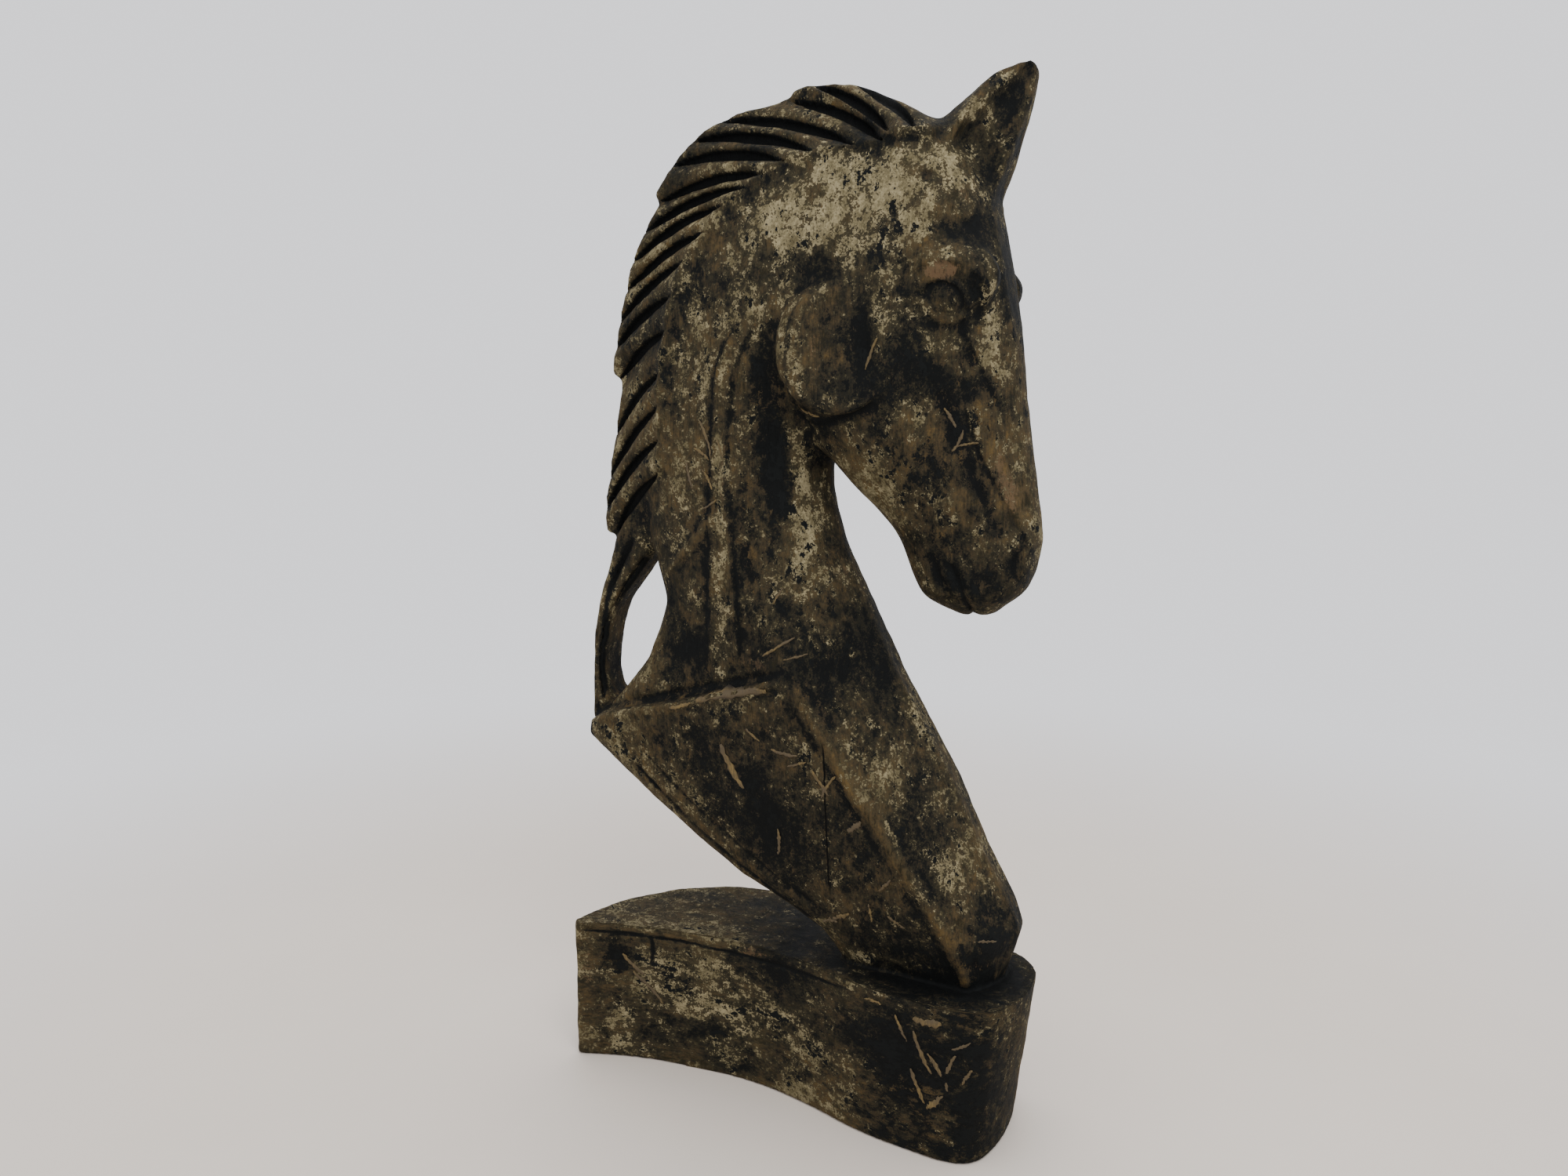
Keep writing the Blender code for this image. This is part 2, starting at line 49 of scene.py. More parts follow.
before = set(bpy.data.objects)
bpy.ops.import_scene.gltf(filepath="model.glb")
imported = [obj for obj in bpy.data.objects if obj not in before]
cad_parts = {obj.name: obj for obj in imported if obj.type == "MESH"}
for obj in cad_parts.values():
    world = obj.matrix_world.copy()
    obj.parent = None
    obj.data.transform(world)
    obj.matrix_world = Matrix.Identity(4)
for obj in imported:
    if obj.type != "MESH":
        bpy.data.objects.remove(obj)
CAD_LOW, CAD_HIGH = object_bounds()

CARVING = "horse_head_carving"

# Carved lines as seen from the side. Points are shares of the figure's height, x forwards from the
# figure's middle and z up from the base's top. Width and height are in metres: a line is raised
# where its height is above nothing and cut where it is below. Its last number is how dark the
# painted shade along it is, or, where that is below nothing, how much painted highlight and rubbed
# wear lighten it.
CHEST_RIDGE = ((0.024, 0.343), (0.052, 0.308), (0.092, 0.244), (0.128, 0.190), (0.167, 0.131),
               (0.194, 0.088), (0.223, 0.028), (0.229, 0.004))
LEDGE = ((-0.252, 0.264), (-0.210, 0.281), (-0.139, 0.298), (-0.082, 0.315), (-0.028, 0.329),
         (0.024, 0.345))
BACK_GROOVE = ((-0.190, 0.228), (-0.129, 0.172), (-0.068, 0.124), (-0.008, 0.083), (0.050, 0.047))
NECK_ARRIS = ((0.060, 0.786), (0.018, 0.761), (-0.011, 0.733), (-0.027, 0.704), (-0.034, 0.669),
              (-0.044, 0.625), (-0.049, 0.588), (-0.050, 0.534), (-0.042, 0.474), (-0.036, 0.381),
              (-0.035, 0.348))
STRIP_BACK = ((-0.0440, 0.722), (-0.0515, 0.713), (-0.0646, 0.673), (-0.0695, 0.611),
              (-0.0729, 0.548), (-0.0756, 0.462), (-0.0784, 0.396), (-0.0812, 0.338))
STRIP_FRONT = ((-0.0370, 0.343), (-0.0379, 0.400), (-0.0423, 0.464), (-0.0515, 0.548),
               (-0.0501, 0.611), (-0.0433, 0.673), (-0.0296, 0.713), (-0.0106, 0.741))
NECK_FACET = ((-0.0672, 0.527), (-0.0868, 0.504), (-0.1122, 0.478), (-0.1420, 0.4500))
TEAR_LINE = ((0.2130, 0.7440), (0.2110, 0.7254), (0.2176, 0.7082), (0.2289, 0.6845), (0.2394, 0.6606),
             (0.2440, 0.6500))
CREST_GROOVE = ((0.1862, 0.6620), (0.1971, 0.6363), (0.2082, 0.6038), (0.2233, 0.5710),
                (0.2373, 0.5381), (0.2538, 0.5050))
CREST = ((0.2120, 0.6500), (0.2169, 0.6363), (0.2257, 0.6054), (0.2423, 0.5710), (0.2585, 0.5395),
         (0.2707, 0.5128), (0.2780, 0.4990))
NOSTRIL = ((0.2772, 0.4985), (0.2683, 0.4940), (0.2630, 0.4830), (0.2640, 0.4709), (0.2688, 0.4606))
MOUTH = ((0.1981, 0.4798), (0.2051, 0.4631), (0.2120, 0.4447), (0.2181, 0.4250))
LIP = ((0.1753, 0.4907), (0.1808, 0.4699), (0.1898, 0.4515), (0.1985, 0.4358))
BROW_ARCH = ((0.1450, 0.7589), (0.1512, 0.7791), (0.1612, 0.7983), (0.1761, 0.8109), (0.1956, 0.8169),
             (0.2138, 0.8119), (0.2294, 0.7956))
BROW_EDGE = ((0.1620, 0.7800), (0.1741, 0.7889), (0.1867, 0.7904), (0.2005, 0.7888), (0.2165, 0.7845))
RECESS = ((0.2165, 0.7845), (0.2290, 0.7745), (0.2352, 0.7646), (0.2345, 0.7500), (0.2261, 0.7304))
UNDER_BROW = ((0.1680, 0.7560), (0.1765, 0.7692), (0.1875, 0.7728), (0.1984, 0.7710),
              (0.2085, 0.7647), (0.2132, 0.7546), (0.2136, 0.7420))
LOWER_LID = ((0.1600, 0.7560), (0.1734, 0.7500), (0.1802, 0.7400), (0.1918, 0.7323), (0.2048, 0.7337),
             (0.2120, 0.7413))
VALLEY = ((0.1500, 0.7493), (0.1701, 0.7395), (0.1894, 0.7206), (0.2080, 0.7034), (0.2230, 0.6844))
CHEEK = ((0.0485, 0.7654), (0.0338, 0.7471), (0.0276, 0.7228), (0.0265, 0.6982), (0.0275, 0.6735),
         (0.0262, 0.6536), (0.0290, 0.6400), (0.0400, 0.6316), (0.0603, 0.6298), (0.0853, 0.6356),
         (0.1105, 0.6461), (0.1250, 0.6589))
CREST_FACE = ((0.2230, 0.6600), (0.2290, 0.6420), (0.2386, 0.6107), (0.2526, 0.5750),
              (0.2656, 0.5385), (0.2763, 0.5084))
EAR_ROOT = ((0.1717, 0.8856), (0.1699, 0.8710), (0.1611, 0.8564), (0.1471, 0.8453), (0.1321, 0.8417))
EAR_FOLD = ((0.1851, 0.8947), (0.1846, 0.8765), (0.1851, 0.8604), (0.1867, 0.8468))
EAR_FRONT = ((0.2297, 0.8758), (0.2218, 0.8609), (0.2154, 0.8478), (0.2080, 0.8328))
FOREHEAD = ((0.2304, 0.8629), (0.2359, 0.8459), (0.2429, 0.8201), (0.2488, 0.7877), (0.2544, 0.7554),
            (0.2570, 0.7100))
JAW = ((0.034, 0.617), (0.080, 0.585), (0.120, 0.545), (0.160, 0.510))
MANE_INNER = ((0.174, 0.920), (0.129, 0.919), (0.103, 0.915), (0.047, 0.913), (0.013, 0.905),
              (-0.028, 0.885), (-0.061, 0.860), (-0.090, 0.835), (-0.119, 0.790), (-0.133, 0.761),
              (-0.140, 0.722), (-0.146, 0.682), (-0.147, 0.610), (-0.147, 0.557), (-0.155, 0.491))
LOOP_GROOVES = (((-0.192, 0.495), (-0.227, 0.427), (-0.240, 0.341), (-0.238, 0.285)),
                ((-0.176, 0.470), (-0.214, 0.416), (-0.238, 0.360)))
EAR_RIM = ((0.1848, 0.8973), (0.1900, 0.9202), (0.2004, 0.9384), (0.2127, 0.9588), (0.2266, 0.9770),
           (0.2450, 0.9870), (0.2627, 0.9939))
BASE_LINE = ((-0.285, -0.0105), (-0.187, -0.0130), (-0.121, -0.0145), (-0.067, -0.0165),
             (0.016, -0.0150), (0.107, -0.0120))
BASE_NICK = ((-0.180, -0.012), (-0.177, -0.028), (-0.179, -0.052))

SIDE_LINES = (
    (CHEST_RIDGE, 0.0030, 0.0017, -0.8),
    (LEDGE, 0.0024, 0.0011, -0.6),
    (BACK_GROOVE, 0.0014, -0.0012, 0.3),
    (NECK_ARRIS, 0.0060, 0.0010, 0.0),
    (NECK_FACET, 0.0030, 0.0016, -0.5),
    (CREST_GROOVE, 0.0040, -0.0015, 0.08),
    (CREST_FACE, 0.0048, 0.0005, -0.8),
    (NOSTRIL, 0.0010, -0.0009, 0.18),
    (MOUTH, 0.0013, -0.0018, 0.5),
    (LIP, 0.0026, -0.0014, 0.15),
    (BROW_ARCH, 0.0030, -0.0009, 0.0),
    (LOWER_LID, 0.0018, 0.0014, -0.5),
    (VALLEY, 0.0050, -0.0010, -0.2),
    (EAR_ROOT, 0.0032, -0.0014, 0.15),
    (EAR_FOLD, 0.0028, -0.0008, 0.1),
    (EAR_RIM, 0.0016, 0.0010, -0.9),
    (EAR_FRONT, 0.0018, 0.0010, -0.3),
    (FOREHEAD, 0.0032, 0.0015, -0.2),
    (JAW, 0.0045, 0.0017, 0.0),
    (MANE_INNER, 0.0030, -0.0006, 0.0),
    (LOOP_GROOVES[0], 0.0018, -0.0026, 0.7),
    (LOOP_GROOVES[1], 0.0018, -0.0026, 0.7),
    (BASE_LINE, 0.0010, -0.0010, 0.4),
    (BASE_NICK, 0.0012, -0.0013, 0.4),
)
# Steps: each stands proud on the left of its line, seen along it, drops at once to the other side
# and fades out over its reach. Line, reach, rise, and how dark the painted shade along the drop is.
STEPS = (
    (STRIP_BACK, 0.0100, 0.0022, 0.35),
    (STRIP_FRONT, 0.0100, 0.0022, 0.30),
    (LEDGE[::-1], 0.0090, 0.0010, 0.30),
    (CHEEK, 0.0130, 0.0016, 0.30),
    (CREST, 0.0085, 0.0017, 0.20),
    (TEAR_LINE, 0.0070, 0.0013, 0.25),
    (BROW_EDGE, 0.0080, 0.0018, 0.10),
    (UNDER_BROW, 0.0060, 0.0018, 0.08),
    (RECESS, 0.0060, 0.0012, 0.15),
    (EAR_RIM, 0.0045, 0.0013, 0.20),
)
# Lines that run beside another one: the line, how far it is moved in x and z as shares, width and
# height.
LINES_BESIDE = (
    (CHEST_RIDGE, (-0.0130, -0.0065), 0.0024, -0.0009),
    (CHEST_RIDGE, (0.0130, 0.0065), 0.0024, -0.0005),
    (LEDGE, (-0.0010, 0.0105), 0.0024, -0.0015),
    (LEDGE, (0.0020, -0.0115), 0.0018, -0.0005),
    (BACK_GROOVE, (0.0085, 0.0095), 0.0016, 0.0008),
    (BACK_GROOVE, (0.0150, 0.0170), 0.0012, -0.0008),
    (MOUTH, (0.0095, 0.0065), 0.0030, 0.0009),
    (MOUTH, (-0.0095, -0.0060), 0.0030, 0.0008),
)
# Round dents: middle, radii along x and z as shares, and depth in metres. A dent whose depth is
# below nothing is a swelling.
DENTS = (
    ((-0.004, 0.690), (0.014, 0.050), 0.0022),
    ((0.000, 0.600), (0.020, 0.060), 0.0026),
    ((0.2255, 0.7560), (0.0075, 0.0170), 0.0020),
    ((-0.115, 0.375), (0.028, 0.045), 0.0022),
    ((-0.0274, 0.4785), (0.0090, 0.0150), 0.0016),
    ((0.0150, 0.4250), (0.0130, 0.0110), 0.0010),
    ((0.1100, 0.7080), (0.0110, 0.0300), 0.0020),
    ((0.178, 0.610), (0.016, 0.040), 0.0014),
    ((0.199, 0.828), (0.030, 0.012), 0.0018),
    ((0.085, 0.343), (0.012, 0.060), 0.0010),
    ((0.2700, 0.4890), (0.0110, 0.0215), -0.0032),
    ((0.2200, 0.9380), (0.0200, 0.0300), -0.0024),
)
EYE = (0.1940, 0.7536)
EYEBALL_WIDTH = 0.0076
EYEBALL_RISE = 0.0036
EYE_REACH = 0.0125

# The one long crack in the shoulder, in metres: its x, where it starts and ends in height, and how
# far it wanders.
CRACK_X = 0.0318
CRACK_LOW = 0.142
CRACK_HIGH = 0.231
CRACK_WANDER = 0.0022

# Waves of the hand-cut surface: size in metres and the seed of their draw.
STROKE_WAVES = (0.022, 5)
HAND_WAVES = (0.034, 3)
CHIP_WAVES = (0.009, 8)

# How often the skin is drawn smooth, all over and round the eyes, and how often for the finish,
# which looks at small and at large hollows. Their depths are in metres.
SKIN_ROUNDS = 24
EYE_ROUNDS = 70
FINE_ROUNDS = 6
BROAD_ROUNDS = 50
NEAR_DEPTH = 0.00035
WIDE_DEPTH = 0.0020
# Half width of the painted shade in the mane's grooves and along the steps' drops, in metres.
GROOVE_SHADE_WIDTH = 0.0026
STEP_SHADE_WIDTH = 0.0014

# The grooves between the mane's strands, from the forehead back: outer end and inner end.
MANE_GROOVES = (
    (0.079, 0.989, 0.155, 0.929), (0.030, 0.994, 0.128, 0.927), (0.001, 0.980, 0.119, 0.920),
    (-0.082, 0.965, 0.091, 0.917), (-0.116, 0.946, 0.045, 0.914), (-0.143, 0.921, 0.011, 0.907),
    (-0.159, 0.881, -0.011, 0.895), (-0.179, 0.848, -0.034, 0.883), (-0.195, 0.815, -0.060, 0.865),
    (-0.204, 0.782, -0.083, 0.838), (-0.213, 0.746, -0.108, 0.808), (-0.219, 0.716, -0.123, 0.771),
    (-0.214, 0.680, -0.132, 0.732), (-0.222, 0.614, -0.140, 0.686), (-0.231, 0.560, -0.142, 0.648),
    (-0.237, 0.522, -0.142, 0.610), (-0.224, 0.494, -0.144, 0.570),
)
MANE_BULGE = 0.009
MANE_BULGE_LENGTH = 0.16

# Where the lime wash is thick, where it has gone down to the stain, and where bare wood shows:
# middle, radii and strength, as shares in the side view.
LIMED = (
    (0.104, 0.854, 0.070, 0.034, 1.15), (0.050, 0.880, 0.090, 0.030, 0.90),
    (0.040, 0.832, 0.070, 0.040, 1.00), (0.105, 0.815, 0.040, 0.030, 0.75),
    (-0.010, 0.786, 0.050, 0.070, 0.50), (0.240, 0.790, 0.007, 0.045, 1.1),
    (0.215, 0.930, 0.022, 0.036, 0.90), (0.185, 0.905, 0.016, 0.030, 0.90),
    (0.2345, 0.724, 0.012, 0.040, 0.9), (0.256, 0.612, 0.012, 0.045, 0.3),
    (0.027, 0.567, 0.014, 0.070, 1.15), (0.036, 0.505, 0.018, 0.040, 0.45),
    (0.134, 0.756, 0.018, 0.045, 1.1), (0.186, 0.712, 0.020, 0.014, 1.2),
    (0.168, 0.745, 0.014, 0.012, 0.9), (0.192, 0.738, 0.016, 0.006, 0.7),
    (0.110, 0.902, 0.080, 0.013, 0.9), (0.205, 0.885, 0.016, 0.026, 0.8),
    (0.222, 0.915, 0.012, 0.030, 0.5),
    (0.203, 0.690, 0.016, 0.016, 0.7), (0.146, 0.643, 0.024, 0.012, 0.45),
    (0.166, 0.626, 0.012, 0.024, 0.3), (0.000, 0.630, 0.006, 0.050, 0.3),
    (-0.095, 0.690, 0.034, 0.110, 0.6), (0.015, 0.440, 0.030, 0.040, 0.45),
    (0.060, 0.470, 0.040, 0.050, 0.3), (0.132, 0.275, 0.050, 0.080, 0.3),
    (0.179, 0.182, 0.040, 0.060, 0.3), (0.208, 0.138, 0.022, 0.022, 1.1),
    (0.132, 0.012, 0.060, 0.014, 1.1), (-0.105, -0.100, 0.095, 0.055, 1.0),
    (-0.148, -0.060, 0.050, 0.034, 0.7), (-0.006, -0.085, 0.080, 0.050, 0.6),
    (-0.200, -0.150, 0.060, 0.034, 0.7), (-0.060, 0.380, 0.014, 0.060, 0.6),
    (-0.060, 0.480, 0.010, 0.160, 0.75), (0.020, 0.210, 0.030, 0.030, 0.4),
)
STAINED = (
    (0.1960, 0.757, 0.006, 0.007, 0.45), (0.2250, 0.7570, 0.008, 0.016, 0.7),
    (-0.0075, 0.645, 0.014, 0.045, 1.0), (0.003, 0.590, 0.014, 0.045, 1.1),
    (0.012, 0.550, 0.010, 0.040, 0.9), (-0.019, 0.690, 0.010, 0.030, 0.8),
    (0.150, 0.694, 0.018, 0.024, 1.1), (0.180, 0.682, 0.018, 0.018, 1.0),
    (0.131, 0.828, 0.012, 0.014, 1.3), (0.128, 0.796, 0.016, 0.010, 1.1),
    (0.190, 0.828, 0.022, 0.009, 0.9), (0.215, 0.824, 0.012, 0.010, 0.8),
    (0.247, 0.800, 0.006, 0.040, 0.9), (0.252, 0.741, 0.010, 0.034, 0.8),
    (0.178, 0.579, 0.026, 0.036, 0.9), (0.140, 0.587, 0.030, 0.026, 0.5),
    (0.230, 0.458, 0.024, 0.020, 0.8), (0.203, 0.463, 0.014, 0.022, 0.8),
    (0.201, 0.625, 0.010, 0.022, 1.0), (0.213, 0.592, 0.009, 0.022, 0.5),
    (0.105, 0.715, 0.012, 0.028, 0.6), (0.050, 0.648, 0.024, 0.010, 0.6),
    (0.247, 0.925, 0.006, 0.034, 0.7), (0.232, 0.885, 0.006, 0.018, 0.3),
    (-0.004, 0.162, 0.060, 0.075, 0.6), (-0.102, 0.255, 0.060, 0.040, 0.6),
    (0.256, 0.066, 0.035, 0.045, 1.1), (0.227, 0.033, 0.025, 0.035, 1.0),
    (0.184, -0.092, 0.065, 0.090, 1.4), (0.246, -0.098, 0.024, 0.090, 1.3),
    (0.000, 0.560, 0.012, 0.060, 0.4),
    (0.105, -0.060, 0.030, 0.030, 0.5), (-0.231, -0.033, 0.030, 0.030, 0.6),
    (-0.132, -0.079, 0.022, 0.012, 1.2), (-0.090, -0.125, 0.030, 0.010, 1.0),
    (-0.117, 0.360, 0.026, 0.050, 0.8), (0.112, 0.144, 0.030, 0.035, 0.8),
    (0.070, 0.320, 0.020, 0.040, 0.6), (0.114, 0.357, 0.020, 0.035, 0.5),
    (0.045, 0.410, 0.050, 0.050, 0.4), (0.165, 0.225, 0.014, 0.060, 0.6),
    (0.010, 0.450, 0.060, 0.070, 0.5), (0.215, 0.640, 0.050, 0.090, 0.4),
    (-0.010, 0.520, 0.020, 0.050, 0.4), (0.120, 0.610, 0.030, 0.030, 0.4),
)
BARE = (
    (0.0586, 0.706, 0.014, 0.045, 0.6), (0.1920, 0.7810, 0.019, 0.009, 1.6),
    (0.1893, 0.803, 0.022, 0.012, 0.3), (0.247, 0.579, 0.012, 0.040, 0.6),
    (0.262, 0.545, 0.010, 0.030, 0.6), (-0.019, 0.357, 0.034, 0.022, 0.6),
    (0.158, 0.612, 0.018, 0.014, 0.5), (0.178, 0.587, 0.014, 0.012, 0.4),
    (-0.031, -0.008, 0.034, 0.008, 0.9), (-0.041, 0.234, 0.016, 0.030, 0.5),
    (0.063, 0.487, 0.024, 0.080, 0.5), (-0.055, 0.560, 0.010, 0.120, 0.6),
    (-0.262, -0.067, 0.012, 0.060, 0.6), (0.240, 0.030, 0.016, 0.007, 0.9),
    (0.050, 0.870, 0.030, 0.030, 0.2), (0.204, 0.925, 0.020, 0.030, 0.6),
    (0.207, 0.861, 0.010, 0.014, 0.6), (-0.150, -0.010, 0.060, 0.008, 0.5),
    (0.294, -0.090, 0.012, 0.085, 0.7), (0.184, 0.752, 0.012, 0.012, 0.3),
)

# Torn slivers of wood that cling to the surface. Thickness and the loose end's lift are in metres.
SLIVER_STATIONS = 15
SLIVER_SIDES = 6
SLIVER_THICKNESS = 0.0008
SLIVER_LIFT = 0.0007
# Each sliver: middle x and z as shares, length and width in metres, and lean in degrees from
# upright, forwards above nothing.
SLIVERS = (
    (-0.047, 0.236, 0.030, 0.0056, -27), (-0.044, 0.3215, 0.050, 0.0076, 77),
    (-0.112, 0.303, 0.016, 0.0034, 72), (0.021, 0.262, 0.017, 0.0030, 96),
    (0.036, 0.250, 0.013, 0.0022, 70), (0.064, 0.232, 0.018, 0.0028, -35),
    (0.074, 0.228, 0.018, 0.0024, 32), (0.104, 0.186, 0.011, 0.0046, 50),
    (0.007, 0.150, 0.017, 0.0030, 3), (0.078, 0.066, 0.016, 0.0042, 62),
    (0.066, 0.056, 0.010, 0.0030, 78), (-0.018, 0.278, 0.011, 0.0022, -50),
    (-0.078, 0.611, 0.024, 0.0026, -20), (-0.083, 0.594, 0.012, 0.0024, -55),
    (-0.099, 0.570, 0.016, 0.0022, -14), (-0.076, 0.566, 0.014, 0.0022, -30),
    (-0.073, 0.538, 0.012, 0.0018, 60), (-0.058, 0.600, 0.012, 0.0018, -18),
    (0.010, 0.438, 0.011, 0.0018, 30), (0.012, 0.381, 0.024, 0.0022, 58),
    (0.034, 0.372, 0.014, 0.0018, 75), (-0.203, -0.052, 0.020, 0.0034, -48),
    (-0.176, -0.088, 0.017, 0.0030, -42), (-0.192, -0.070, 0.015, 0.0026, -50),
    (0.196, -0.018, 0.020, 0.0060, 84), (0.163, -0.035, 0.016, 0.0026, -28),
    (0.189, -0.056, 0.026, 0.0034, -26), (0.206, -0.073, 0.022, 0.0034, -32),
    (0.221, -0.066, 0.016, 0.0028, 20), (0.216, -0.092, 0.018, 0.0026, -8),
    (0.206, -0.110, 0.016, 0.0050, 46), (0.184, -0.098, 0.022, 0.0034, -24),
    (0.239, -0.075, 0.011, 0.0028, 30), (0.232, -0.040, 0.012, 0.0024, 62),
    (0.128, -0.014, 0.011, 0.0024, 90), (0.045, 0.6395, 0.014, 0.0026, -72),
    (0.118, 0.700, 0.018, 0.0024, 22), (0.198, 0.634, 0.012, 0.0026, -30),
    (0.206, 0.610, 0.013, 0.0024, 26), (0.216, 0.606, 0.012, 0.0018, 80),
    (0.138, 0.120, 0.012, 0.0028, 40), (0.150, 0.075, 0.013, 0.0024, -60),
    (0.118, 0.080, 0.012, 0.0022, -6), (0.246, 0.060, 0.012, 0.0018, 100),
)

# The studio, in metres and watts. Lamps: name, place, size and power, aimed at one height. The floor
# fades into the light all round between two distances from the figure.
LAMPS = (("key", (0.55, -0.75, 1.35), 0.6, 9.0), ("top", (-0.1, 0.2, 1.6), 0.9, 6.0))
LAMP_AIM = 0.3
FLOOR_SIZE = 14.0
FLOOR_FADE = (0.35, 1.15)
SENSOR_WIDTH = 36.0


class HorseCarving(bpy.types.PropertyGroup):
    """Sizes of the carved surface."""

    base_height: bpy.props.FloatProperty(
        name="Base height", description="Height of the base's top", default=0.0913, unit="LENGTH")
    middle_x: bpy.props.FloatProperty(
        name="Middle, forwards", description="Where the figure's shares start along X",
        default=-0.0035, unit="LENGTH")
    middle_y: bpy.props.FloatProperty(
        name="Middle, sideways", description="The figure's own middle plane", default=-0.0080,
        unit="LENGTH")
    cell: bpy.props.FloatProperty(
        name="Cell", description="Size of the even skin's cells", default=0.00125, unit="LENGTH")
    triangles: bpy.props.IntProperty(
        name="Triangles", description="Most triangles in the finished skin", default=192000)
    groove_depth: bpy.props.FloatProperty(
        name="Groove depth", description="Depth of the grooves between mane strands",
        default=0.0034, unit="LENGTH")
    groove_width: bpy.props.FloatProperty(
        name="Groove width", description="Half width of the grooves between mane strands",
        default=0.0027, unit="LENGTH")
    unevenness: bpy.props.FloatProperty(
        name="Unevenness", description="How far the hand-cut surface strays from the true form",
        default=0.0005, unit="LENGTH")


class HorseFinish(bpy.types.PropertyGroup):
    """Colours of the weathered finish."""

    wood: bpy.props.FloatVectorProperty(
        name="Wood", description="Worn wood between the paint layers", subtype="COLOR",
        default=(0.057, 0.040, 0.019))
    wood_dark: bpy.props.FloatVectorProperty(
        name="Dark wood", description="Wood with stain rubbed into it", subtype="COLOR",
        default=(0.018, 0.015, 0.008))
    ochre: bpy.props.FloatVectorProperty(
        name="Ochre wood", description="Yellowest streaks of the wood", subtype="COLOR",
        default=(0.100, 0.065, 0.024))
    bare: bpy.props.FloatVectorProperty(
        name="Bare wood", description="Freshly worn reddish wood", subtype="COLOR",
        default=(0.110, 0.068, 0.036))
    stain: bpy.props.FloatVectorProperty(
        name="Stain", description="Blue-black stain", subtype="COLOR",
        default=(0.0038, 0.0043, 0.0042))
    lime: bpy.props.FloatVectorProperty(
        name="Lime", description="Pale lime wash", subtype="COLOR",
        default=(0.270, 0.228, 0.130))
    lime_dirty: bpy.props.FloatVectorProperty(
        name="Dirty lime", description="Thin or dirty lime wash", subtype="COLOR",
        default=(0.088, 0.072, 0.037))
    sliver: bpy.props.FloatVectorProperty(
        name="Sliver", description="Torn straw-coloured wood", subtype="COLOR",
        default=(0.150, 0.100, 0.030))


class HorseStudio(bpy.types.PropertyGroup):
    """Camera, floor and light."""

    azimuth: bpy.props.FloatProperty(
        name="Azimuth", description="Direction of the camera round the figure",
        default=math.radians(20.0), subtype="ANGLE")
    pitch: bpy.props.FloatProperty(
        name="Pitch", description="How far the camera looks down", default=math.radians(8.0),
        subtype="ANGLE")
    distance: bpy.props.FloatProperty(
        name="Distance", description="From the camera to the figure's middle", default=0.6976,
        unit="LENGTH")
    height: bpy.props.FloatProperty(
        name="Height", description="Height of the camera", default=0.4112, unit="LENGTH")
    aside: bpy.props.FloatProperty(
        name="Aside", description="How far the camera stands to the left", default=0.0052,
        unit="LENGTH")
    lens: bpy.props.FloatProperty(
        name="Lens", description="Focal length in millimetres on a 36 mm sensor", default=27.0,
        unit="CAMERA")
    floor: bpy.props.FloatVectorProperty(
        name="Floor", description="Colour of the floor", subtype="COLOR",
        default=(0.70, 0.625, 0.545))
    sky: bpy.props.FloatVectorProperty(
        name="Surround", description="Colour of the light all round", subtype="COLOR",
        default=(0.965, 0.965, 1.00))
    glow: bpy.props.FloatProperty(
        name="Glow", description="Strength of the light all round", default=1.32)


def eased(value, low, high):
    """A smooth step from 0 at low to 1 at high."""
    t = np.clip((value - low) / (high - low), 0.0, 1.0)
    return t * t * (3.0 - 2.0 * t)


def curve_through(points, pieces=6):
    """Points on a smooth curve: between two points a cubic whose slopes are half the chord of the
    neighbours on either side."""
    p = np.array(points, float)
    before = np.vstack((2 * p[0] - p[1], p[:-1]))[:-1]
    after = np.vstack((p[1:], 2 * p[-1] - p[-2]))[1:]
    t = np.linspace(0.0, 1.0, pieces, endpoint=False)[None, :, None]
    a, b = p[:-1, None], p[1:, None]
    start, end = (b - before[:, None]) / 2, (after[:, None] - a) / 2
    smooth = (a * (2 * t**3 - 3 * t**2 + 1) + b * (3 * t**2 - 2 * t**3)
              + start * (t**3 - 2 * t**2 + t) + end * (t**3 - t**2))
    return np.vstack((smooth.reshape(-1, p.shape[1]), p[-1:]))


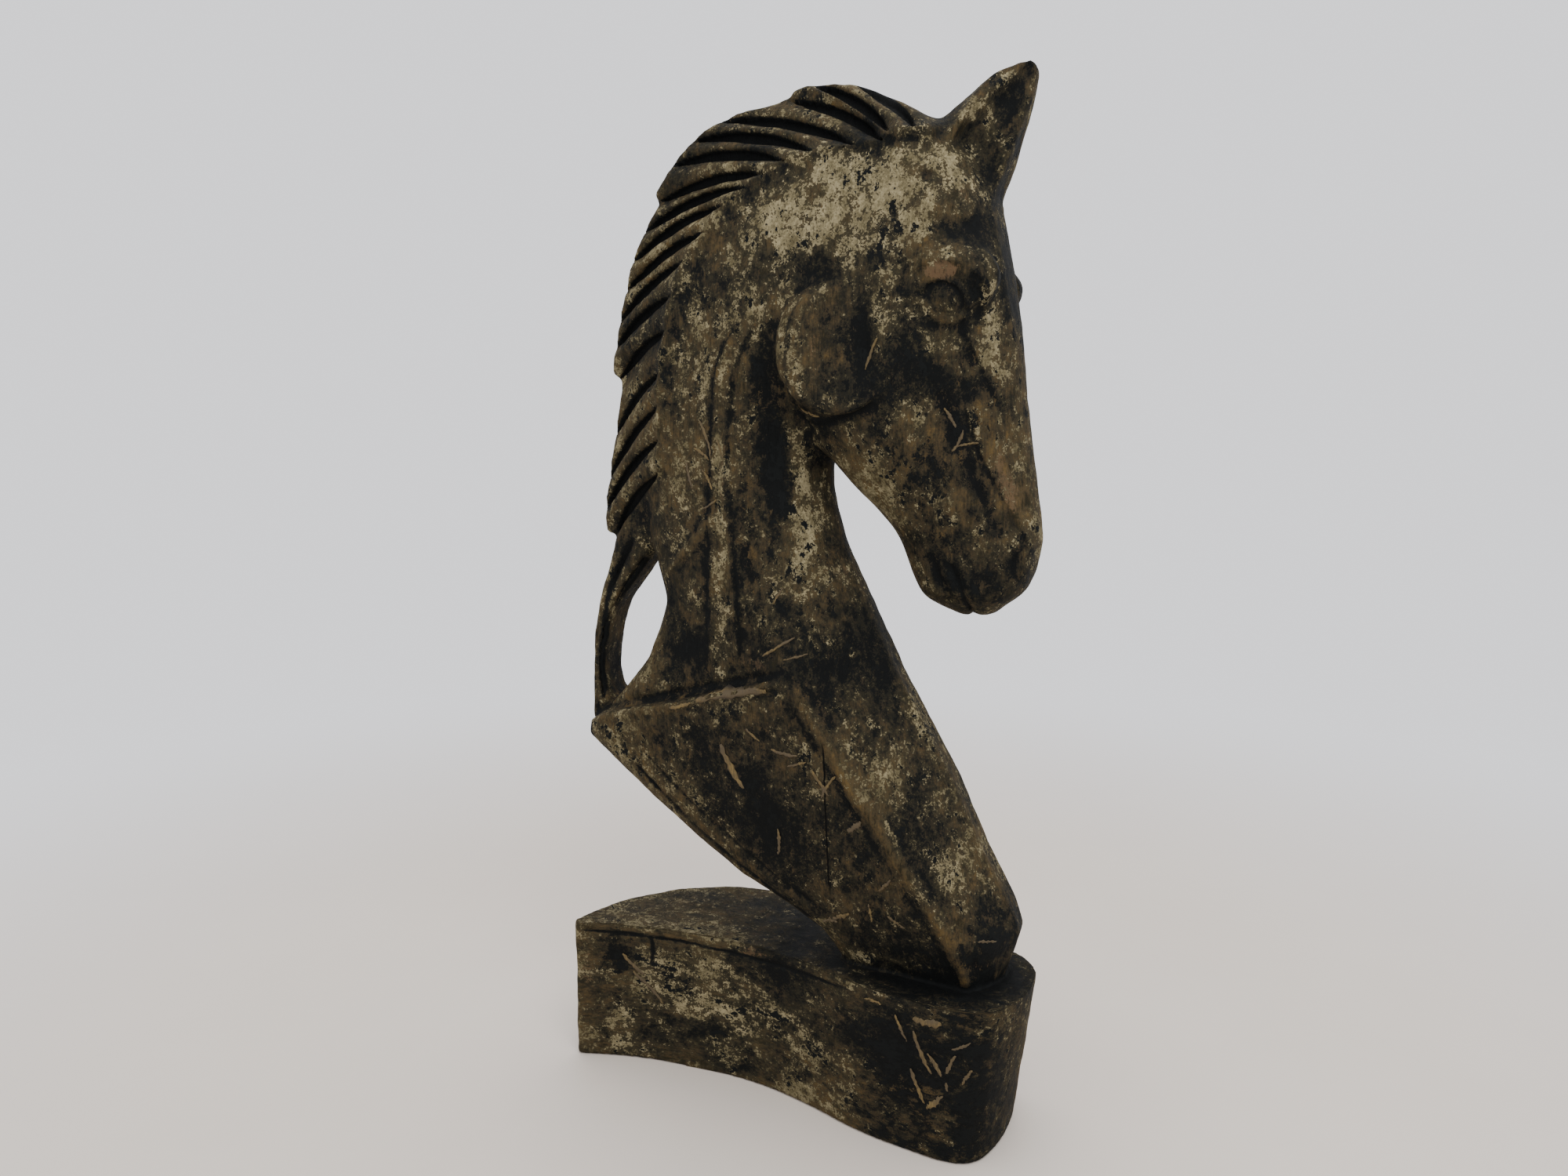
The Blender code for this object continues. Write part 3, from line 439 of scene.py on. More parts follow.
class Figure:
    """Turns shares of the figure's height into metres and measures distances in the side view."""

    def __init__(self, sizes):
        self.low = sizes.base_height
        self.scale = CAD_HIGH.z - sizes.base_height
        self.x = sizes.middle_x
        self.y = sizes.middle_y

    def metres(self, points):
        """Points in metres from points in shares."""
        return np.array(points, float) * self.scale + (self.x, self.low)

    def nearest(self, side, line, reach):
        """Distance of each side-view place from a curve, at most reach, the share along it, and 1
        on the curve's left or -1 on its right.

        The distance is to the nearest point of any of the curve's short straight pieces.
        """
        curve = self.metres(curve_through(line))
        near = np.flatnonzero(((side > curve.min(0) - reach) & (side < curve.max(0) + reach)).all(1))
        found, share, hand = np.full(len(side), reach), np.zeros(len(side)), np.ones(len(side))
        if len(near) == 0:
            return found, share, hand
        start, step = curve[:-1], np.diff(curve, axis=0)
        gap = side[near][:, None, :] - start[None]
        along = np.clip((gap * step).sum(2) / np.maximum((step**2).sum(1), 1e-12), 0.0, 1.0)
        away = np.linalg.norm(gap - along[..., None] * step, axis=2)
        piece = away.argmin(1)
        rows = np.arange(len(near))
        found[near] = np.minimum(away[rows, piece], reach)
        share[near] = (piece + along[rows, piece]) / len(step)
        ahead, beside = step[piece], gap[rows, piece]
        hand[near] = np.sign(ahead[:, 0] * beside[:, 1] - ahead[:, 1] * beside[:, 0])
        return found, share, hand

    def distance(self, side, line, reach):
        """Distance of each side-view place from a curve, at most reach."""
        return self.nearest(side, line, reach)[0]

    def line(self, side, line, width, height, fade=0.12):
        """A bell-shaped ridge or cut: height times exp(-(distance / width) squared).

        It narrows and dies out over the share fade of its length at either end.
        """
        away, share, _ = self.nearest(side, line, 3.0 * width)
        ends = eased(share, 0.0, fade) * eased(share, 1.0, 1.0 - fade)
        return height * ends * (np.exp(-(away / (width * (0.45 + 0.55 * ends))) ** 2)
                                - math.exp(-9.0))

    def step(self, side, line, reach, rise):
        """A step: rise times exp(-distance / reach) on the line's left, gone 1 mm to its right."""
        away, share, hand = self.nearest(side, line, 4.0 * reach)
        ends = eased(share, 0.0, 0.10) * eased(share, 1.0, 0.90)
        fall = np.exp(-away / reach) - math.exp(-4.0)
        return rise * ends * fall * eased(hand * away, -0.0010, 0.0004)

    def slot(self, side, line, width):
        """1 in a slot with steep sides, whose half width is width times sin(pi share) to the 0.7."""
        away, share, _ = self.nearest(side, line, 1.5 * width)
        half = width * np.sin(np.pi * np.clip(share, 0.001, 0.999)) ** 0.7
        return 1.0 - eased(away / half, 0.45, 1.20)

    def blobs(self, side, table):
        """Sum of soft patches: each is its strength times exp(-r squared), r in its own radii."""
        total = np.zeros(len(side))
        for x, z, radius_x, radius_z, strength in table:
            middle = self.metres((x, z))
            radii = np.array((radius_x, radius_z)) * self.scale
            total += strength * np.exp(-(((side - middle) / radii) ** 2).sum(1))
        return total


def ripples(places, size, seed):
    """Uneven waves: the mean of 14 sine waves of about one size, in directions drawn from a seed."""
    draw = np.random.default_rng(seed)
    ways = draw.normal(size=(14, 3))
    ways *= (2 * np.pi / size) * draw.uniform(0.6, 1.6, (14, 1)) / np.linalg.norm(
        ways, axis=1, keepdims=True)
    return np.sin(places @ ways.T + draw.uniform(0, 2 * np.pi, 14)).mean(1) * 2.0


def mane_grooves():
    """The grooves between strands: curves from their inner to their outer ends, bowed upwards."""
    table = np.array(MANE_GROOVES)
    share = np.array((0.0, 0.25, 0.5, 0.75, 1.0))[None, :, None]
    across = table[:, :2] - table[:, 2:]
    length = np.linalg.norm(across, axis=1, keepdims=True)
    turned = np.stack((across[:, 1], -across[:, 0]), 1) / length
    bow = MANE_BULGE * np.minimum(1.0, length / MANE_BULGE_LENGTH)[:, None] * 4 * share * (1 - share)
    return list(table[:, None, 2:] + across[:, None] * share + turned[:, None] * bow)


def mesh_arrays(mesh):
    """A mesh's places, normals and edges as arrays."""
    places = np.empty(len(mesh.vertices) * 3)
    mesh.vertices.foreach_get("co", places)
    normals = np.empty(len(mesh.vertices) * 3, np.float32)
    mesh.vertex_normals.foreach_get("vector", normals)
    edges = np.empty(len(mesh.edges) * 2, np.int32)
    mesh.edges.foreach_get("vertices", edges)
    return places.reshape(-1, 3), normals.reshape(-1, 3).astype(float), edges.reshape(-1, 2)


def relaxed(places, edges, share, rounds):
    """Places drawn to the mean of their neighbours: each round closes share of the distance."""
    count = np.bincount(edges.ravel(), minlength=len(places))
    step = (share / np.maximum(count, 1))[:, None]
    for _ in range(rounds):
        total = np.stack([
            np.bincount(edges[:, 0], places[edges[:, 1], k], len(places))
            + np.bincount(edges[:, 1], places[edges[:, 0], k], len(places)) for k in range(3)], 1)
        places = places + step * (total - count[:, None] * places)
    return places


def applied(piece):
    """Replaces a piece's mesh by what its modifiers make of it."""
    graph = bpy.context.evaluated_depsgraph_get()
    mesh = bpy.data.meshes.new_from_object(piece.evaluated_get(graph))
    piece.modifiers.clear()
    old = piece.data
    piece.data = mesh
    bpy.data.meshes.remove(old)


def even_skin(node, name, cell):
    """A merged copy of a solid as an even skin of small square faces."""
    mesh = bmesh.new()
    mesh.from_mesh(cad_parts[node].data)
    bmesh.ops.remove_doubles(mesh, verts=mesh.verts, dist=1e-6)
    data = bpy.data.meshes.new(name)
    mesh.to_mesh(data)
    mesh.free()
    piece = bpy.data.objects.new(name, data)
    bpy.context.scene.collection.objects.link(piece)
    remesh = piece.modifiers.new("even", "REMESH")
    remesh.mode = "VOXEL"
    remesh.voxel_size = cell
    applied(piece)
    return piece


def softness(figure, side):
    """How freely each place is smoothed: 1 on the neck and face, little near crisp lines."""
    z = (side[:, 1] - figure.low) / figure.scale
    soft = 0.12 + 0.88 * eased(z, 0.37, 0.42)
    for line, width in ((CHEEK[6:], 0.007), (UNDER_BROW, 0.007), (LOWER_LID, 0.007),
                        (MOUTH, 0.006), (EAR_RIM, 0.010), (MANE_INNER, 0.005)):
        soft *= 1.0 - 0.9 * (1.0 - eased(figure.distance(side, line, width), 0.0, width))
    for line in mane_grooves():
        soft *= 1.0 - 0.85 * (1.0 - eased(figure.distance(side, line, 0.009), 0.004, 0.009))
    return np.clip(soft, 0.08, 1.0)


def relief(figure, sizes, places, normals):
    """Height of the carving above the plain form, along the normals, at each place.

    Carved lines and dents count on surfaces that face sideways. The mane's grooves count all round.
    """
    side = places[:, (0, 2)]
    facing = eased(np.abs(normals[:, 1]), 0.12, 0.45)
    height = np.zeros(len(places))
    for line, width, rise, _ in SIDE_LINES:
        height += figure.line(side, line, width, rise, 0.06)
    for line, reach, rise, _ in STEPS:
        height += figure.step(side, line, reach, rise)
    for line, shift, width, rise in LINES_BESIDE:
        height += figure.line(side, np.array(line) + shift, width, rise)
    height *= 0.8 + 0.5 * ripples(places, *STROKE_WAVES)
    for middle, radii, depth in DENTS:
        height -= depth * figure.blobs(side, ((*middle, *radii, 1.0),))
    from_eye = np.linalg.norm(side - figure.metres(EYE), axis=1)
    height += EYEBALL_RISE * np.exp(-(from_eye / EYEBALL_WIDTH) ** 2)
    for line in mane_grooves():
        height -= sizes.groove_depth * figure.slot(side, line, sizes.groove_width)
    height *= facing
    above_floor = eased(places[:, 2], 0.002, 0.008)
    height += sizes.unevenness * (ripples(places, *HAND_WAVES) - 0.6) * above_floor
    height += 0.35 * sizes.unevenness * ripples(places, *CHIP_WAVES) * above_floor
    return height


def set_attribute(mesh, name, values):
    """Stores one number for each vertex."""
    made = mesh.attributes.new(name, "FLOAT", "POINT")
    made.data.foreach_set("value", values.astype(np.float32))


def weathering(figure, piece):
    """Stores where the surface is hollow, raised, limed, stained and bare, and where light and shade
    are painted, for the finish.

    Hollow and edge are how far the surface lies inside or outside its own smoothed form; the finish
    paints shade in hollows and highlight on edges. The base's top gets painted light where it faces
    up, away from the body's shadow. Grooves, cuts and the steps' drops get painted shade, and raised
    lines painted highlight along with rubbed wear.
    """
    places, normals, edges = mesh_arrays(piece.data)
    everywhere = np.ones(len(places))
    fine = relaxed(places, edges, everywhere, FINE_ROUNDS)
    broad = relaxed(fine, edges, everywhere, BROAD_ROUNDS)
    near = ((fine - places) * normals).sum(1)
    wide = ((broad - places) * normals).sum(1)
    side = places[:, (0, 2)]
    hidden = eased(places[:, 1], figure.y - 0.004, figure.y + 0.012)
    facing = eased(np.abs(normals[:, 1]), 0.05, 0.5)
    # Painted light: the base's top is lighter where it faces up, fading out towards the body, whose
    # shadow falls there; it is added to the lime and the bare wood.
    base_top_light = (eased(normals[:, 2], 0.75, 0.95) * (places[:, 2] < figure.low + 0.004)
                * eased(places[:, 0], 0.04, -0.10))
    near_side = 1.0 - 0.45 * hidden
    held = near_side * (0.35 + 0.65 * facing)
    # Hollow darkens the finish as painted shade and edge lightens it as painted highlight.
    set_attribute(piece.data, "hollow", eased(near / NEAR_DEPTH + wide / WIDE_DEPTH, 0.15, 1.3))
    set_attribute(piece.data, "edge", eased(-wide / WIDE_DEPTH, 0.1, 1.0))
    lime_and_top_light = np.clip(figure.blobs(side, LIMED), 0, 1.3) * held + 0.55 * base_top_light
    set_attribute(piece.data, "lime_and_top_light", lime_and_top_light)
    set_attribute(piece.data, "stained", np.clip(figure.blobs(side, STAINED), 0, 1.6) * near_side)
    set_attribute(piece.data, "bare_and_top_light",
                  np.clip(figure.blobs(side, BARE), 0, 1.2) * held + 0.45 * base_top_light)
    # Painted shade in the mane's grooves, in cut lines and along the steps' drops, and painted
    # highlight with rubbed wear along raised lines.
    cut_shade_and_ridge_light = sum(figure.slot(side, line, GROOVE_SHADE_WIDTH) for line in mane_grooves())
    cut_shade_and_ridge_light += sum(figure.line(side, line, width, stain) for line, width, _, stain in SIDE_LINES)
    cut_shade_and_ridge_light += sum(figure.line(side, line, STEP_SHADE_WIDTH, stain) for line, _, _, stain in STEPS)
    set_attribute(piece.data, "cut_shade_and_ridge_light", np.clip(cut_shade_and_ridge_light, -1, 1) * facing)


class Shade:
    """A shader socket that can stand in an expression.

    Sums and products of shades add Math nodes; node() adds any other node.
    """

    def __init__(self, tree, socket=None):
        self.tree = tree
        self.socket = socket

    def node(self, kind, settings=None, sockets=None, output=0):
        """Adds a node, with its settings first and then the values or links of its sockets."""
        made = self.tree.nodes.new(kind)
        for name, value in (settings or {}).items():
            setattr(made, name, value)
        for name, value in (sockets or {}).items():
            if isinstance(value, Shade):
                self.tree.links.new(value.socket, made.inputs[name])
            else:
                made.inputs[name].default_value = value
        return Shade(self.tree, made.outputs[output])

    def math(self, operation, first, second, clamp=False):
        """Adds a Math node."""
        return self.node("ShaderNodeMath", {"operation": operation, "use_clamp": clamp},
                         {0: first, 1: second})

    def __add__(self, other):
        return self.math("ADD", self, other)

    __radd__ = __add__

    def __sub__(self, other):
        return self.math("SUBTRACT", self, other)

    def __rsub__(self, other):
        return self.math("SUBTRACT", other, self)

    def __mul__(self, other):
        return self.math("MULTIPLY", self, other)

    __rmul__ = __mul__

    def __abs__(self):
        return self.math("ABSOLUTE", self, 0.0)

    def clamped(self):
        """The value held between 0 and 1."""
        return self.math("ADD", self, 0.0, clamp=True)

    def step(self, low, high):
        """0 below low, 1 above high, with a smooth slope between; falls where low is above high."""
        if low > high:
            return 1.0 - self.step(high, low)
        return self.node("ShaderNodeMapRange", {"interpolation_type": "SMOOTHSTEP"},
                         {"Value": self, "From Min": low, "From Max": high})

    def paint(self, under, over):
        """The colour under, covered by the colour over where this value is 1."""
        return self.node("ShaderNodeMix", {"data_type": "RGBA"}, {0: self, 6: under, 7: over},
                         output=2)

    def between(self, first, second):
        """The vector first where this value is 0 and second where it is 1."""
        return self.node("ShaderNodeMix", {"data_type": "VECTOR"}, {0: self, 4: first, 5: second},
                         output=1)

    def stretched(self, x, y, z):
        """This vector with its parts multiplied."""
        return self.node("ShaderNodeVectorMath", {"operation": "MULTIPLY"}, {0: self, 1: (x, y, z)})

    def noise(self, scale, detail=4.0, roughness=0.6, distortion=0.0):
        """Cloudy noise read at this vector."""
        return self.node("ShaderNodeTexNoise", None, {
            "Vector": self, "Scale": scale, "Detail": detail, "Roughness": roughness,
            "Distortion": distortion})

    def stored(self, name):
        """A number stored on the mesh."""
        return self.node("ShaderNodeAttribute", {"attribute_name": name}, output="Fac")


def new_material(name):
    """An empty material with its shader and a shade to build from."""
    material = bpy.data.materials.new(name)
    material.use_nodes = True
    tree = material.node_tree
    return material, Shade(tree), tree.nodes["Principled BSDF"]


def colour(value):
    """A colour with full alpha."""
    return (*value, 1.0)


def weathered_wood(look, base_height):
    """Brown wood under blue-black stain under a worn lime wash, all broken up along the grain."""
    material, start, shader = new_material("weathered_wood")
    here = start.node("ShaderNodeTexCoord", output="Object")
    x, y, z = (here.node("ShaderNodeSeparateXYZ", None, {0: here}, output=k) for k in range(3))
    in_base = z.step(base_height + 0.0005, base_height - 0.0010)
    along = in_base.between(here.stretched(1.0, 1.0, 0.72), here.stretched(0.48, 1.0, 1.0))
    fibre = in_base.between(here.stretched(1.0, 1.0, 0.06), here.stretched(0.06, 1.0, 1.0))

    broad = here.noise(15.0, 3.0, 0.55) - 0.5
    drift = along.noise(40.0, 7.0, 0.68, 0.3) - 0.5
    patch = along.noise(80.0, 7.0, 0.72, 0.2) - 0.5
    fleck = along.noise(190.0, 5.0, 0.72) - 0.5
    chip = here.noise(300.0, 4.0, 0.70) - 0.5
    speck = here.noise(900.0, 2.0, 0.6) - 0.5
    thread = fibre.noise(900.0, 4.0, 0.65) - 0.5
    tone = along.noise(130.0, 6.0, 0.75) - 0.5

    hollow = start.stored("hollow")
    edge = start.stored("edge")
    lime_and_top_light = start.stored("lime_and_top_light")
    stained = start.stored("stained")
    bare_and_top_light = start.stored("bare_and_top_light")
    cut_shade_and_ridge_light = start.stored("cut_shade_and_ridge_light")
    # cut is the painted shade in grooves, cut lines and along the steps' drops; rubbed is the painted
    # highlight with rubbed wear along raised lines.
    cut = cut_shade_and_ridge_light.clamped()
    rubbed = (cut_shade_and_ridge_light * -1.0).clamped() * (fleck * 5.0 + 0.65).clamped()

    warmth = (tone * 1.6 + thread * 0.9 + broad * 0.8 + 0.47 + rubbed * 0.25).clamped()
    wood = warmth.step(0.30, 0.62).paint(colour(look.wood_dark), colour(look.wood))
    wood = warmth.step(0.60, 0.86).paint(wood, colour(look.ochre))
    # Less bare wood in hollows, as painted shade.
    bare_level = bare_and_top_light * 0.30 + patch * 0.7 + chip * 0.5 + thread * 0.4 - hollow * 0.3
    bare_amount = bare_level.step(0.17, 0.24)
    wood = (bare_amount * 0.85).paint(wood, colour(look.bare))

    # The stain gathers in hollows and cuts as painted shade, and thins on convex edges as painted
    # highlight and on raised lines as painted highlight with rubbed wear.
    dark_level = (drift * 0.80 + fleck * 0.85 + speck * 0.30 - broad * 0.45 + stained * 0.14
                  + hollow * 0.09 + cut * 0.50 - rubbed * 0.20 - bare_and_top_light * 0.12 - edge * 0.07
                  - lime_and_top_light * 0.05)
    dark_amount = dark_level.step(-0.002, 0.012)
    wash = dark_level.step(-0.22, 0.0) * 0.60
    surface = wash.paint(wood, colour([2.2 * part for part in look.stain]))
    surface = dark_amount.paint(surface, colour(look.stain))

    # Lime is thicker on convex edges as painted highlight, and thinner in hollows and cuts as painted
    # shade.
    lime_level = (patch * 0.75 + fleck * 0.45 + chip * 0.65 + speck * 0.30 + broad * 0.40
                  + lime_and_top_light * 0.13 + edge * 0.05 - stained * 0.08 - hollow * 0.10 - cut * 0.35
                  - rubbed * 0.08 - bare_and_top_light * 0.06)
    lime_amount = lime_level.step(0.106, 0.116)
    film = (lime_level + lime_and_top_light * 0.03).step(-0.06, 0.12) * 0.42
    lime_tone = (tone * 2.2 + speck * 0.9 + patch * 0.8 + lime_and_top_light * 0.16 + 0.24).step(0.05, 0.95)
    lime_tone = lime_tone.paint(colour(look.lime_dirty), colour(look.lime))
    surface = film.paint(surface, colour([0.72 * part for part in look.lime_dirty]))
    surface = lime_amount.paint(surface, lime_tone)
    flaked = (fleck * 0.90 + drift * 0.60 + chip * 0.40 + stained * 0.08
              - rubbed * 0.1 - bare_and_top_light * 0.05).step(0.112, 0.122)
    surface = flaked.paint(surface, colour([1.5 * part for part in look.stain]))

    wander = (here.stretched(0.0, 0.0, 1.0).noise(120.0, 4.0, 0.7) - 0.5) * CRACK_WANDER
    crack = abs(x - CRACK_X + wander).step(0.00065, 0.00025)
    crack = crack * z.step(CRACK_LOW - 0.007, CRACK_LOW + 0.008)
    crack = crack * z.step(CRACK_HIGH + 0.005, CRACK_HIGH - 0.005) * y.step(-0.020, -0.030)
    pores = thread.step(0.10, 0.20) * chip.step(-0.04, 0.10)
    # Drawn darker than the stain: the crack, the pores, and painted shade deep in hollows along cuts.
    sunk = (crack + pores * 0.5 + hollow.step(0.7, 1.0) * cut.step(0.1, 0.5) * 0.6).clamped()
    surface = sunk.paint(surface, colour([0.5 * part for part in look.stain]))

    start.tree.links.new(surface.socket, shader.inputs["Base Color"])
    rough = 0.82 + lime_amount * 0.12 - dark_amount * 0.10 + fleck * 0.3
    start.tree.links.new(rough.socket, shader.inputs["Roughness"])
    shader.inputs["Specular IOR Level"].default_value = 0.08

    chisel = along.node("ShaderNodeTexVoronoi", {"feature": "SMOOTH_F1"},
                        {"Vector": along, "Scale": 62.0, "Smoothness": 0.35})
    height = (chisel * 0.40 + thread * 0.45 + fleck * 0.70 + lime_amount * 0.16
              - dark_amount * 0.05 - flaked * 0.16 - crack * 1.6 - pores * 0.35)
    bump = start.node("ShaderNodeBump", None, {"Strength": 0.9, "Distance": 0.0011,
                                               "Height": height})
    start.tree.links.new(bump.socket, shader.inputs["Normal"])
    return material


def torn_wood(look):
    """Straw-coloured torn fibres, greyer in places."""
    material, start, shader = new_material("torn_wood")
    here = start.node("ShaderNodeTexCoord", output="Object")
    thread = here.stretched(1.0, 1.0, 0.25).noise(900.0, 4.0, 0.65)
    drift = here.noise(45.0, 2.0, 0.5)
    straw = thread.step(0.35, 0.65).paint(colour([0.45 * part for part in look.sliver]),
                                          colour(look.sliver))
    straw = (drift.step(0.42, 0.60) * 0.85).paint(straw, colour(look.wood))
    start.tree.links.new(straw.socket, shader.inputs["Base Color"])
    shader.inputs["Roughness"].default_value = 0.8
    bump = start.node("ShaderNodeBump", None, {"Strength": 0.6, "Distance": 0.0004,
                                               "Height": thread})
    start.tree.links.new(bump.socket, shader.inputs["Normal"])
    return material


def move_skin(piece, places):
    """Puts the skin's points at new places, held inside the solid's own box."""
    held = np.clip(places, np.array(CAD_LOW), np.array(CAD_HIGH))
    piece.data.vertices.foreach_set("co", held.ravel())
    piece.data.update()


def finish_piece(piece, material):
    """Rides a piece on the one body, with its material and smooth shading."""
    piece.data.materials.clear()
    piece.data.materials.append(material)
    piece.data.shade_smooth()
    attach(piece, "root")


class HORSE_OT_carving(bpy.types.Operator):
    """Carve the skin over the solid and give it its weathered finish"""

    bl_idname = "horse.carving"
    bl_label = "Carved surface"

    def execute(self, context):
        sizes = context.scene.horse_carving
        figure = Figure(sizes)
        piece = even_skin(CARVING, "carved_surface", sizes.cell)
        places, _, edges = mesh_arrays(piece.data)
        places = relaxed(places, edges, softness(figure, places[:, (0, 2)]), SKIN_ROUNDS)
        from_eye = np.linalg.norm(places[:, (0, 2)] - figure.metres(EYE), axis=1)
        places = relaxed(places, edges, np.exp(-((from_eye / EYE_REACH) ** 4)), EYE_ROUNDS)
        move_skin(piece, places)
        places, normals, _ = mesh_arrays(piece.data)
        move_skin(piece, places + normals * relief(figure, sizes, places, normals)[:, None])
        thin = piece.modifiers.new("thin", "DECIMATE")
        thin.ratio = min(1.0, sizes.triangles / (2.0 * len(piece.data.polygons)))
        applied(piece)
        move_skin(piece, mesh_arrays(piece.data)[0])
        weathering(figure, piece)
        look = context.scene.horse_finish
        finish_piece(piece, weathered_wood(look, sizes.base_height))
        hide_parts(CARVING)
        return {"FINISHED"}


def sliver_shapes(figure, skin):
    """Places of every sliver's grid, as slivers by stations by points round the section.

    A sliver runs along its lean with a slight bow; its half width is half its width times
    sin(pi u) to the power 0.3, ragged by waves that differ on its two edges; its section is a flat
    six-sided ring, and it stands on the nearest place of the skin, one end lifted by u squared.
    """
    table = np.array(SLIVERS)
    u = np.linspace(0.01, 0.99, SLIVER_STATIONS)[None, :, None]
    turn = np.arange(SLIVER_SIDES)[None, None, :] * (2 * math.pi / SLIVER_SIDES)
    lean = np.radians(table[:, 4])[:, None, None]
    middle = figure.metres(table[:, :2])
    length = table[:, 2][:, None, None]
    half = table[:, 3][:, None, None] / 2 * np.sin(np.pi * u) ** 0.3
    along = (u - 0.5) * length
    ragged = 0.38 * np.sin(23 * u + lean * 40 + 2.5 * np.cos(turn)) * np.sin(11 * u + lean * 9)
    across = half * np.cos(turn) * (0.70 + ragged) + 0.05 * length * np.sin(
        np.pi * u) * np.sin(lean * 31)
    x = middle[:, 0][:, None, None] + along * np.sin(lean) + across * np.cos(lean)
    z = middle[:, 1][:, None, None] + along * np.cos(lean) - across * np.sin(lean)
    near = skin[skin[:, 1] < figure.y - 0.006]
    flat = np.stack((x.ravel(), z.ravel()), 1)
    nearest = np.concatenate([
        ((part[:, None, :] - near[None, :, (0, 2)]) ** 2).sum(2).argmin(1)
        for part in np.array_split(flat, 40)])
    ground = near[nearest, 1].reshape(x.shape)
    thick = SLIVER_THICKNESS / 2 * np.sin(np.pi * u) ** 0.5
    lift = SLIVER_LIFT * u**2
    y = ground - lift - thick * np.sin(turn)
    return np.stack((x, np.maximum(y, CAD_LOW.y + 0.0004 - 0.0002 * np.sin(turn)), z), 3)


class HORSE_OT_slivers(bpy.types.Operator):
    """Lay the torn slivers of wood on the side that shows them"""

    bl_idname = "horse.slivers"
    bl_label = "Torn slivers"

    def execute(self, context):
        skin = bpy.data.objects.get("carved_surface")
        if skin is None:
            raise RuntimeError("the carved surface comes before its slivers")
        figure = Figure(context.scene.horse_carving)
        grid = sliver_shapes(figure, mesh_arrays(skin.data)[0])
        slivers, stations, ring, _ = grid.shape
        index = np.arange(slivers * stations * ring).reshape(slivers, stations, ring)
        onward = np.roll(index, -1, axis=2)
        sides = np.stack((index[:, :-1], index[:, 1:], onward[:, 1:], onward[:, :-1]), 3)
        mesh = bpy.data.meshes.new("torn_slivers")
        faces = sides.reshape(-1, 4).tolist()
        faces += index[:, 0].tolist() + index[:, -1, ::-1].tolist()
        mesh.from_pydata(grid.reshape(-1, 3).tolist(), [], faces)
        mesh.validate()
        shape = bmesh.new()
        shape.from_mesh(mesh)
        bmesh.ops.recalc_face_normals(shape, faces=shape.faces)
        shape.to_mesh(mesh)
        shape.free()
        piece = bpy.data.objects.new("torn_slivers", mesh)
        bpy.context.scene.collection.objects.link(piece)
        finish_piece(piece, torn_wood(context.scene.horse_finish))
        return {"FINISHED"}


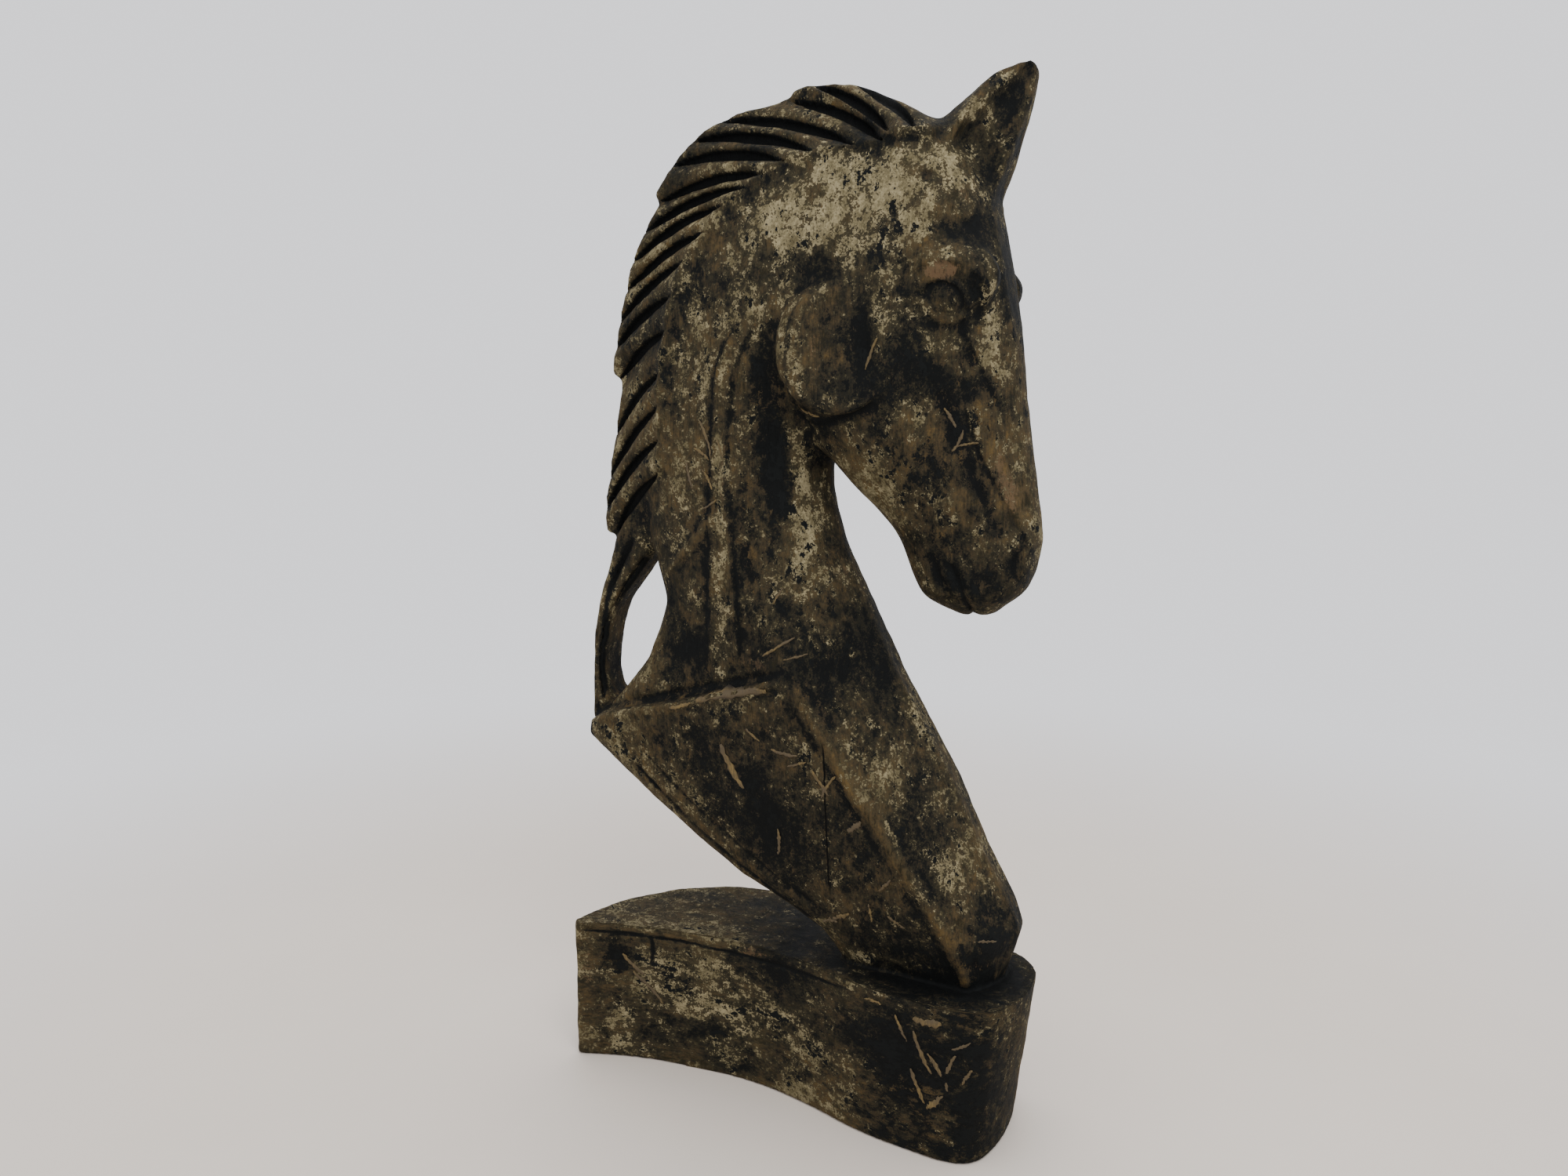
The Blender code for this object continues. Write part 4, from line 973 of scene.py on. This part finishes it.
class HORSE_OT_studio(bpy.types.Operator):
    """Set the plain floor, the soft light and the camera"""

    bl_idname = "horse.studio"
    bl_label = "Studio"

    def execute(self, context):
        scene = context.scene
        studio = scene.horse_studio
        bpy.ops.mesh.primitive_plane_add(size=FLOOR_SIZE)
        floor = context.object
        floor.name = "floor"
        material, start, shader = new_material("pale_floor")
        here = start.node("ShaderNodeTexCoord", output="Object")
        tone = here.noise(5.0, 5.0, 0.6).step(0.3, 0.7).paint(
            colour([0.97 * part for part in studio.floor]), colour(studio.floor))
        start.tree.links.new(tone.socket, shader.inputs["Base Color"])
        shader.inputs["Roughness"].default_value = 0.60
        away = here.node("ShaderNodeVectorMath", {"operation": "LENGTH"}, {0: here}, output=1)
        glow = start.node("ShaderNodeEmission", None, {
            "Color": colour(studio.sky), "Strength": studio.glow})
        mixed = start.node("ShaderNodeMixShader", None, {
            0: away.step(*FLOOR_FADE), 1: Shade(start.tree, shader.outputs[0]), 2: glow})
        start.tree.links.new(mixed.socket, start.tree.nodes["Material Output"].inputs["Surface"])
        floor.data.materials.append(material)

        world = bpy.data.worlds.new("surround")
        world.use_nodes = True
        scene.world = world
        back = world.node_tree.nodes["Background"]
        back.inputs["Color"].default_value = colour(studio.sky)
        back.inputs["Strength"].default_value = studio.glow

        for name, place, size, power in LAMPS:
            lamp = bpy.data.lights.new(name, "AREA")
            lamp.size = size
            lamp.energy = power
            lit = bpy.data.objects.new(name, lamp)
            lit.location = place
            aim = Vector((0, 0, LAMP_AIM)) - lit.location
            lit.rotation_euler = aim.to_track_quat("-Z", "Y").to_euler()
            scene.collection.objects.link(lit)

        right = Vector((math.cos(studio.azimuth), math.sin(studio.azimuth), 0))
        ahead = Vector((-math.sin(studio.azimuth), math.cos(studio.azimuth), 0))
        sizes = scene.horse_carving
        data = bpy.data.cameras.new("camera")
        data.sensor_width = SENSOR_WIDTH
        data.lens = studio.lens
        camera = bpy.data.objects.new("camera", data)
        camera.location = (Vector((sizes.middle_x, sizes.middle_y, studio.height))
                           - ahead * studio.distance - right * studio.aside)
        gaze = ahead * math.cos(studio.pitch) - Vector((0, 0, math.sin(studio.pitch)))
        camera.rotation_euler = gaze.to_track_quat("-Z", "Y").to_euler()
        scene.collection.objects.link(camera)
        scene.camera = camera
        return {"FINISHED"}


class HORSE_PT_panel(bpy.types.Panel):
    """Lists the steps that make the horse head"""

    bl_idname = "HORSE_PT_panel"
    bl_label = "Horse Head"
    bl_space_type = "VIEW_3D"
    bl_region_type = "UI"
    bl_category = "Horse Head"

    def draw(self, context):
        for operator in OPERATORS:
            self.layout.operator(operator.bl_idname)
        for group in (context.scene.horse_carving, context.scene.horse_finish,
                      context.scene.horse_studio):
            for name in group.__annotations__:
                self.layout.prop(group, name)


GROUPS = {"horse_carving": HorseCarving, "horse_finish": HorseFinish, "horse_studio": HorseStudio}
OPERATORS = (HORSE_OT_carving, HORSE_OT_slivers, HORSE_OT_studio)


def register():
    """Adds the classes and the scene's settings."""
    for item in (*GROUPS.values(), *OPERATORS, HORSE_PT_panel):
        bpy.utils.register_class(item)
    for name, group in GROUPS.items():
        setattr(bpy.types.Scene, name, bpy.props.PointerProperty(type=group))


def unregister():
    """Takes the scene's settings and the classes away again."""
    for name in GROUPS:
        delattr(bpy.types.Scene, name)
    for item in reversed((*GROUPS.values(), *OPERATORS, HORSE_PT_panel)):
        bpy.utils.unregister_class(item)


def main():
    """Makes the horse head and its studio."""
    register()
    bpy.ops.horse.carving()
    bpy.ops.horse.slivers()
    bpy.ops.horse.studio()


if __name__ == "__main__":
    main()
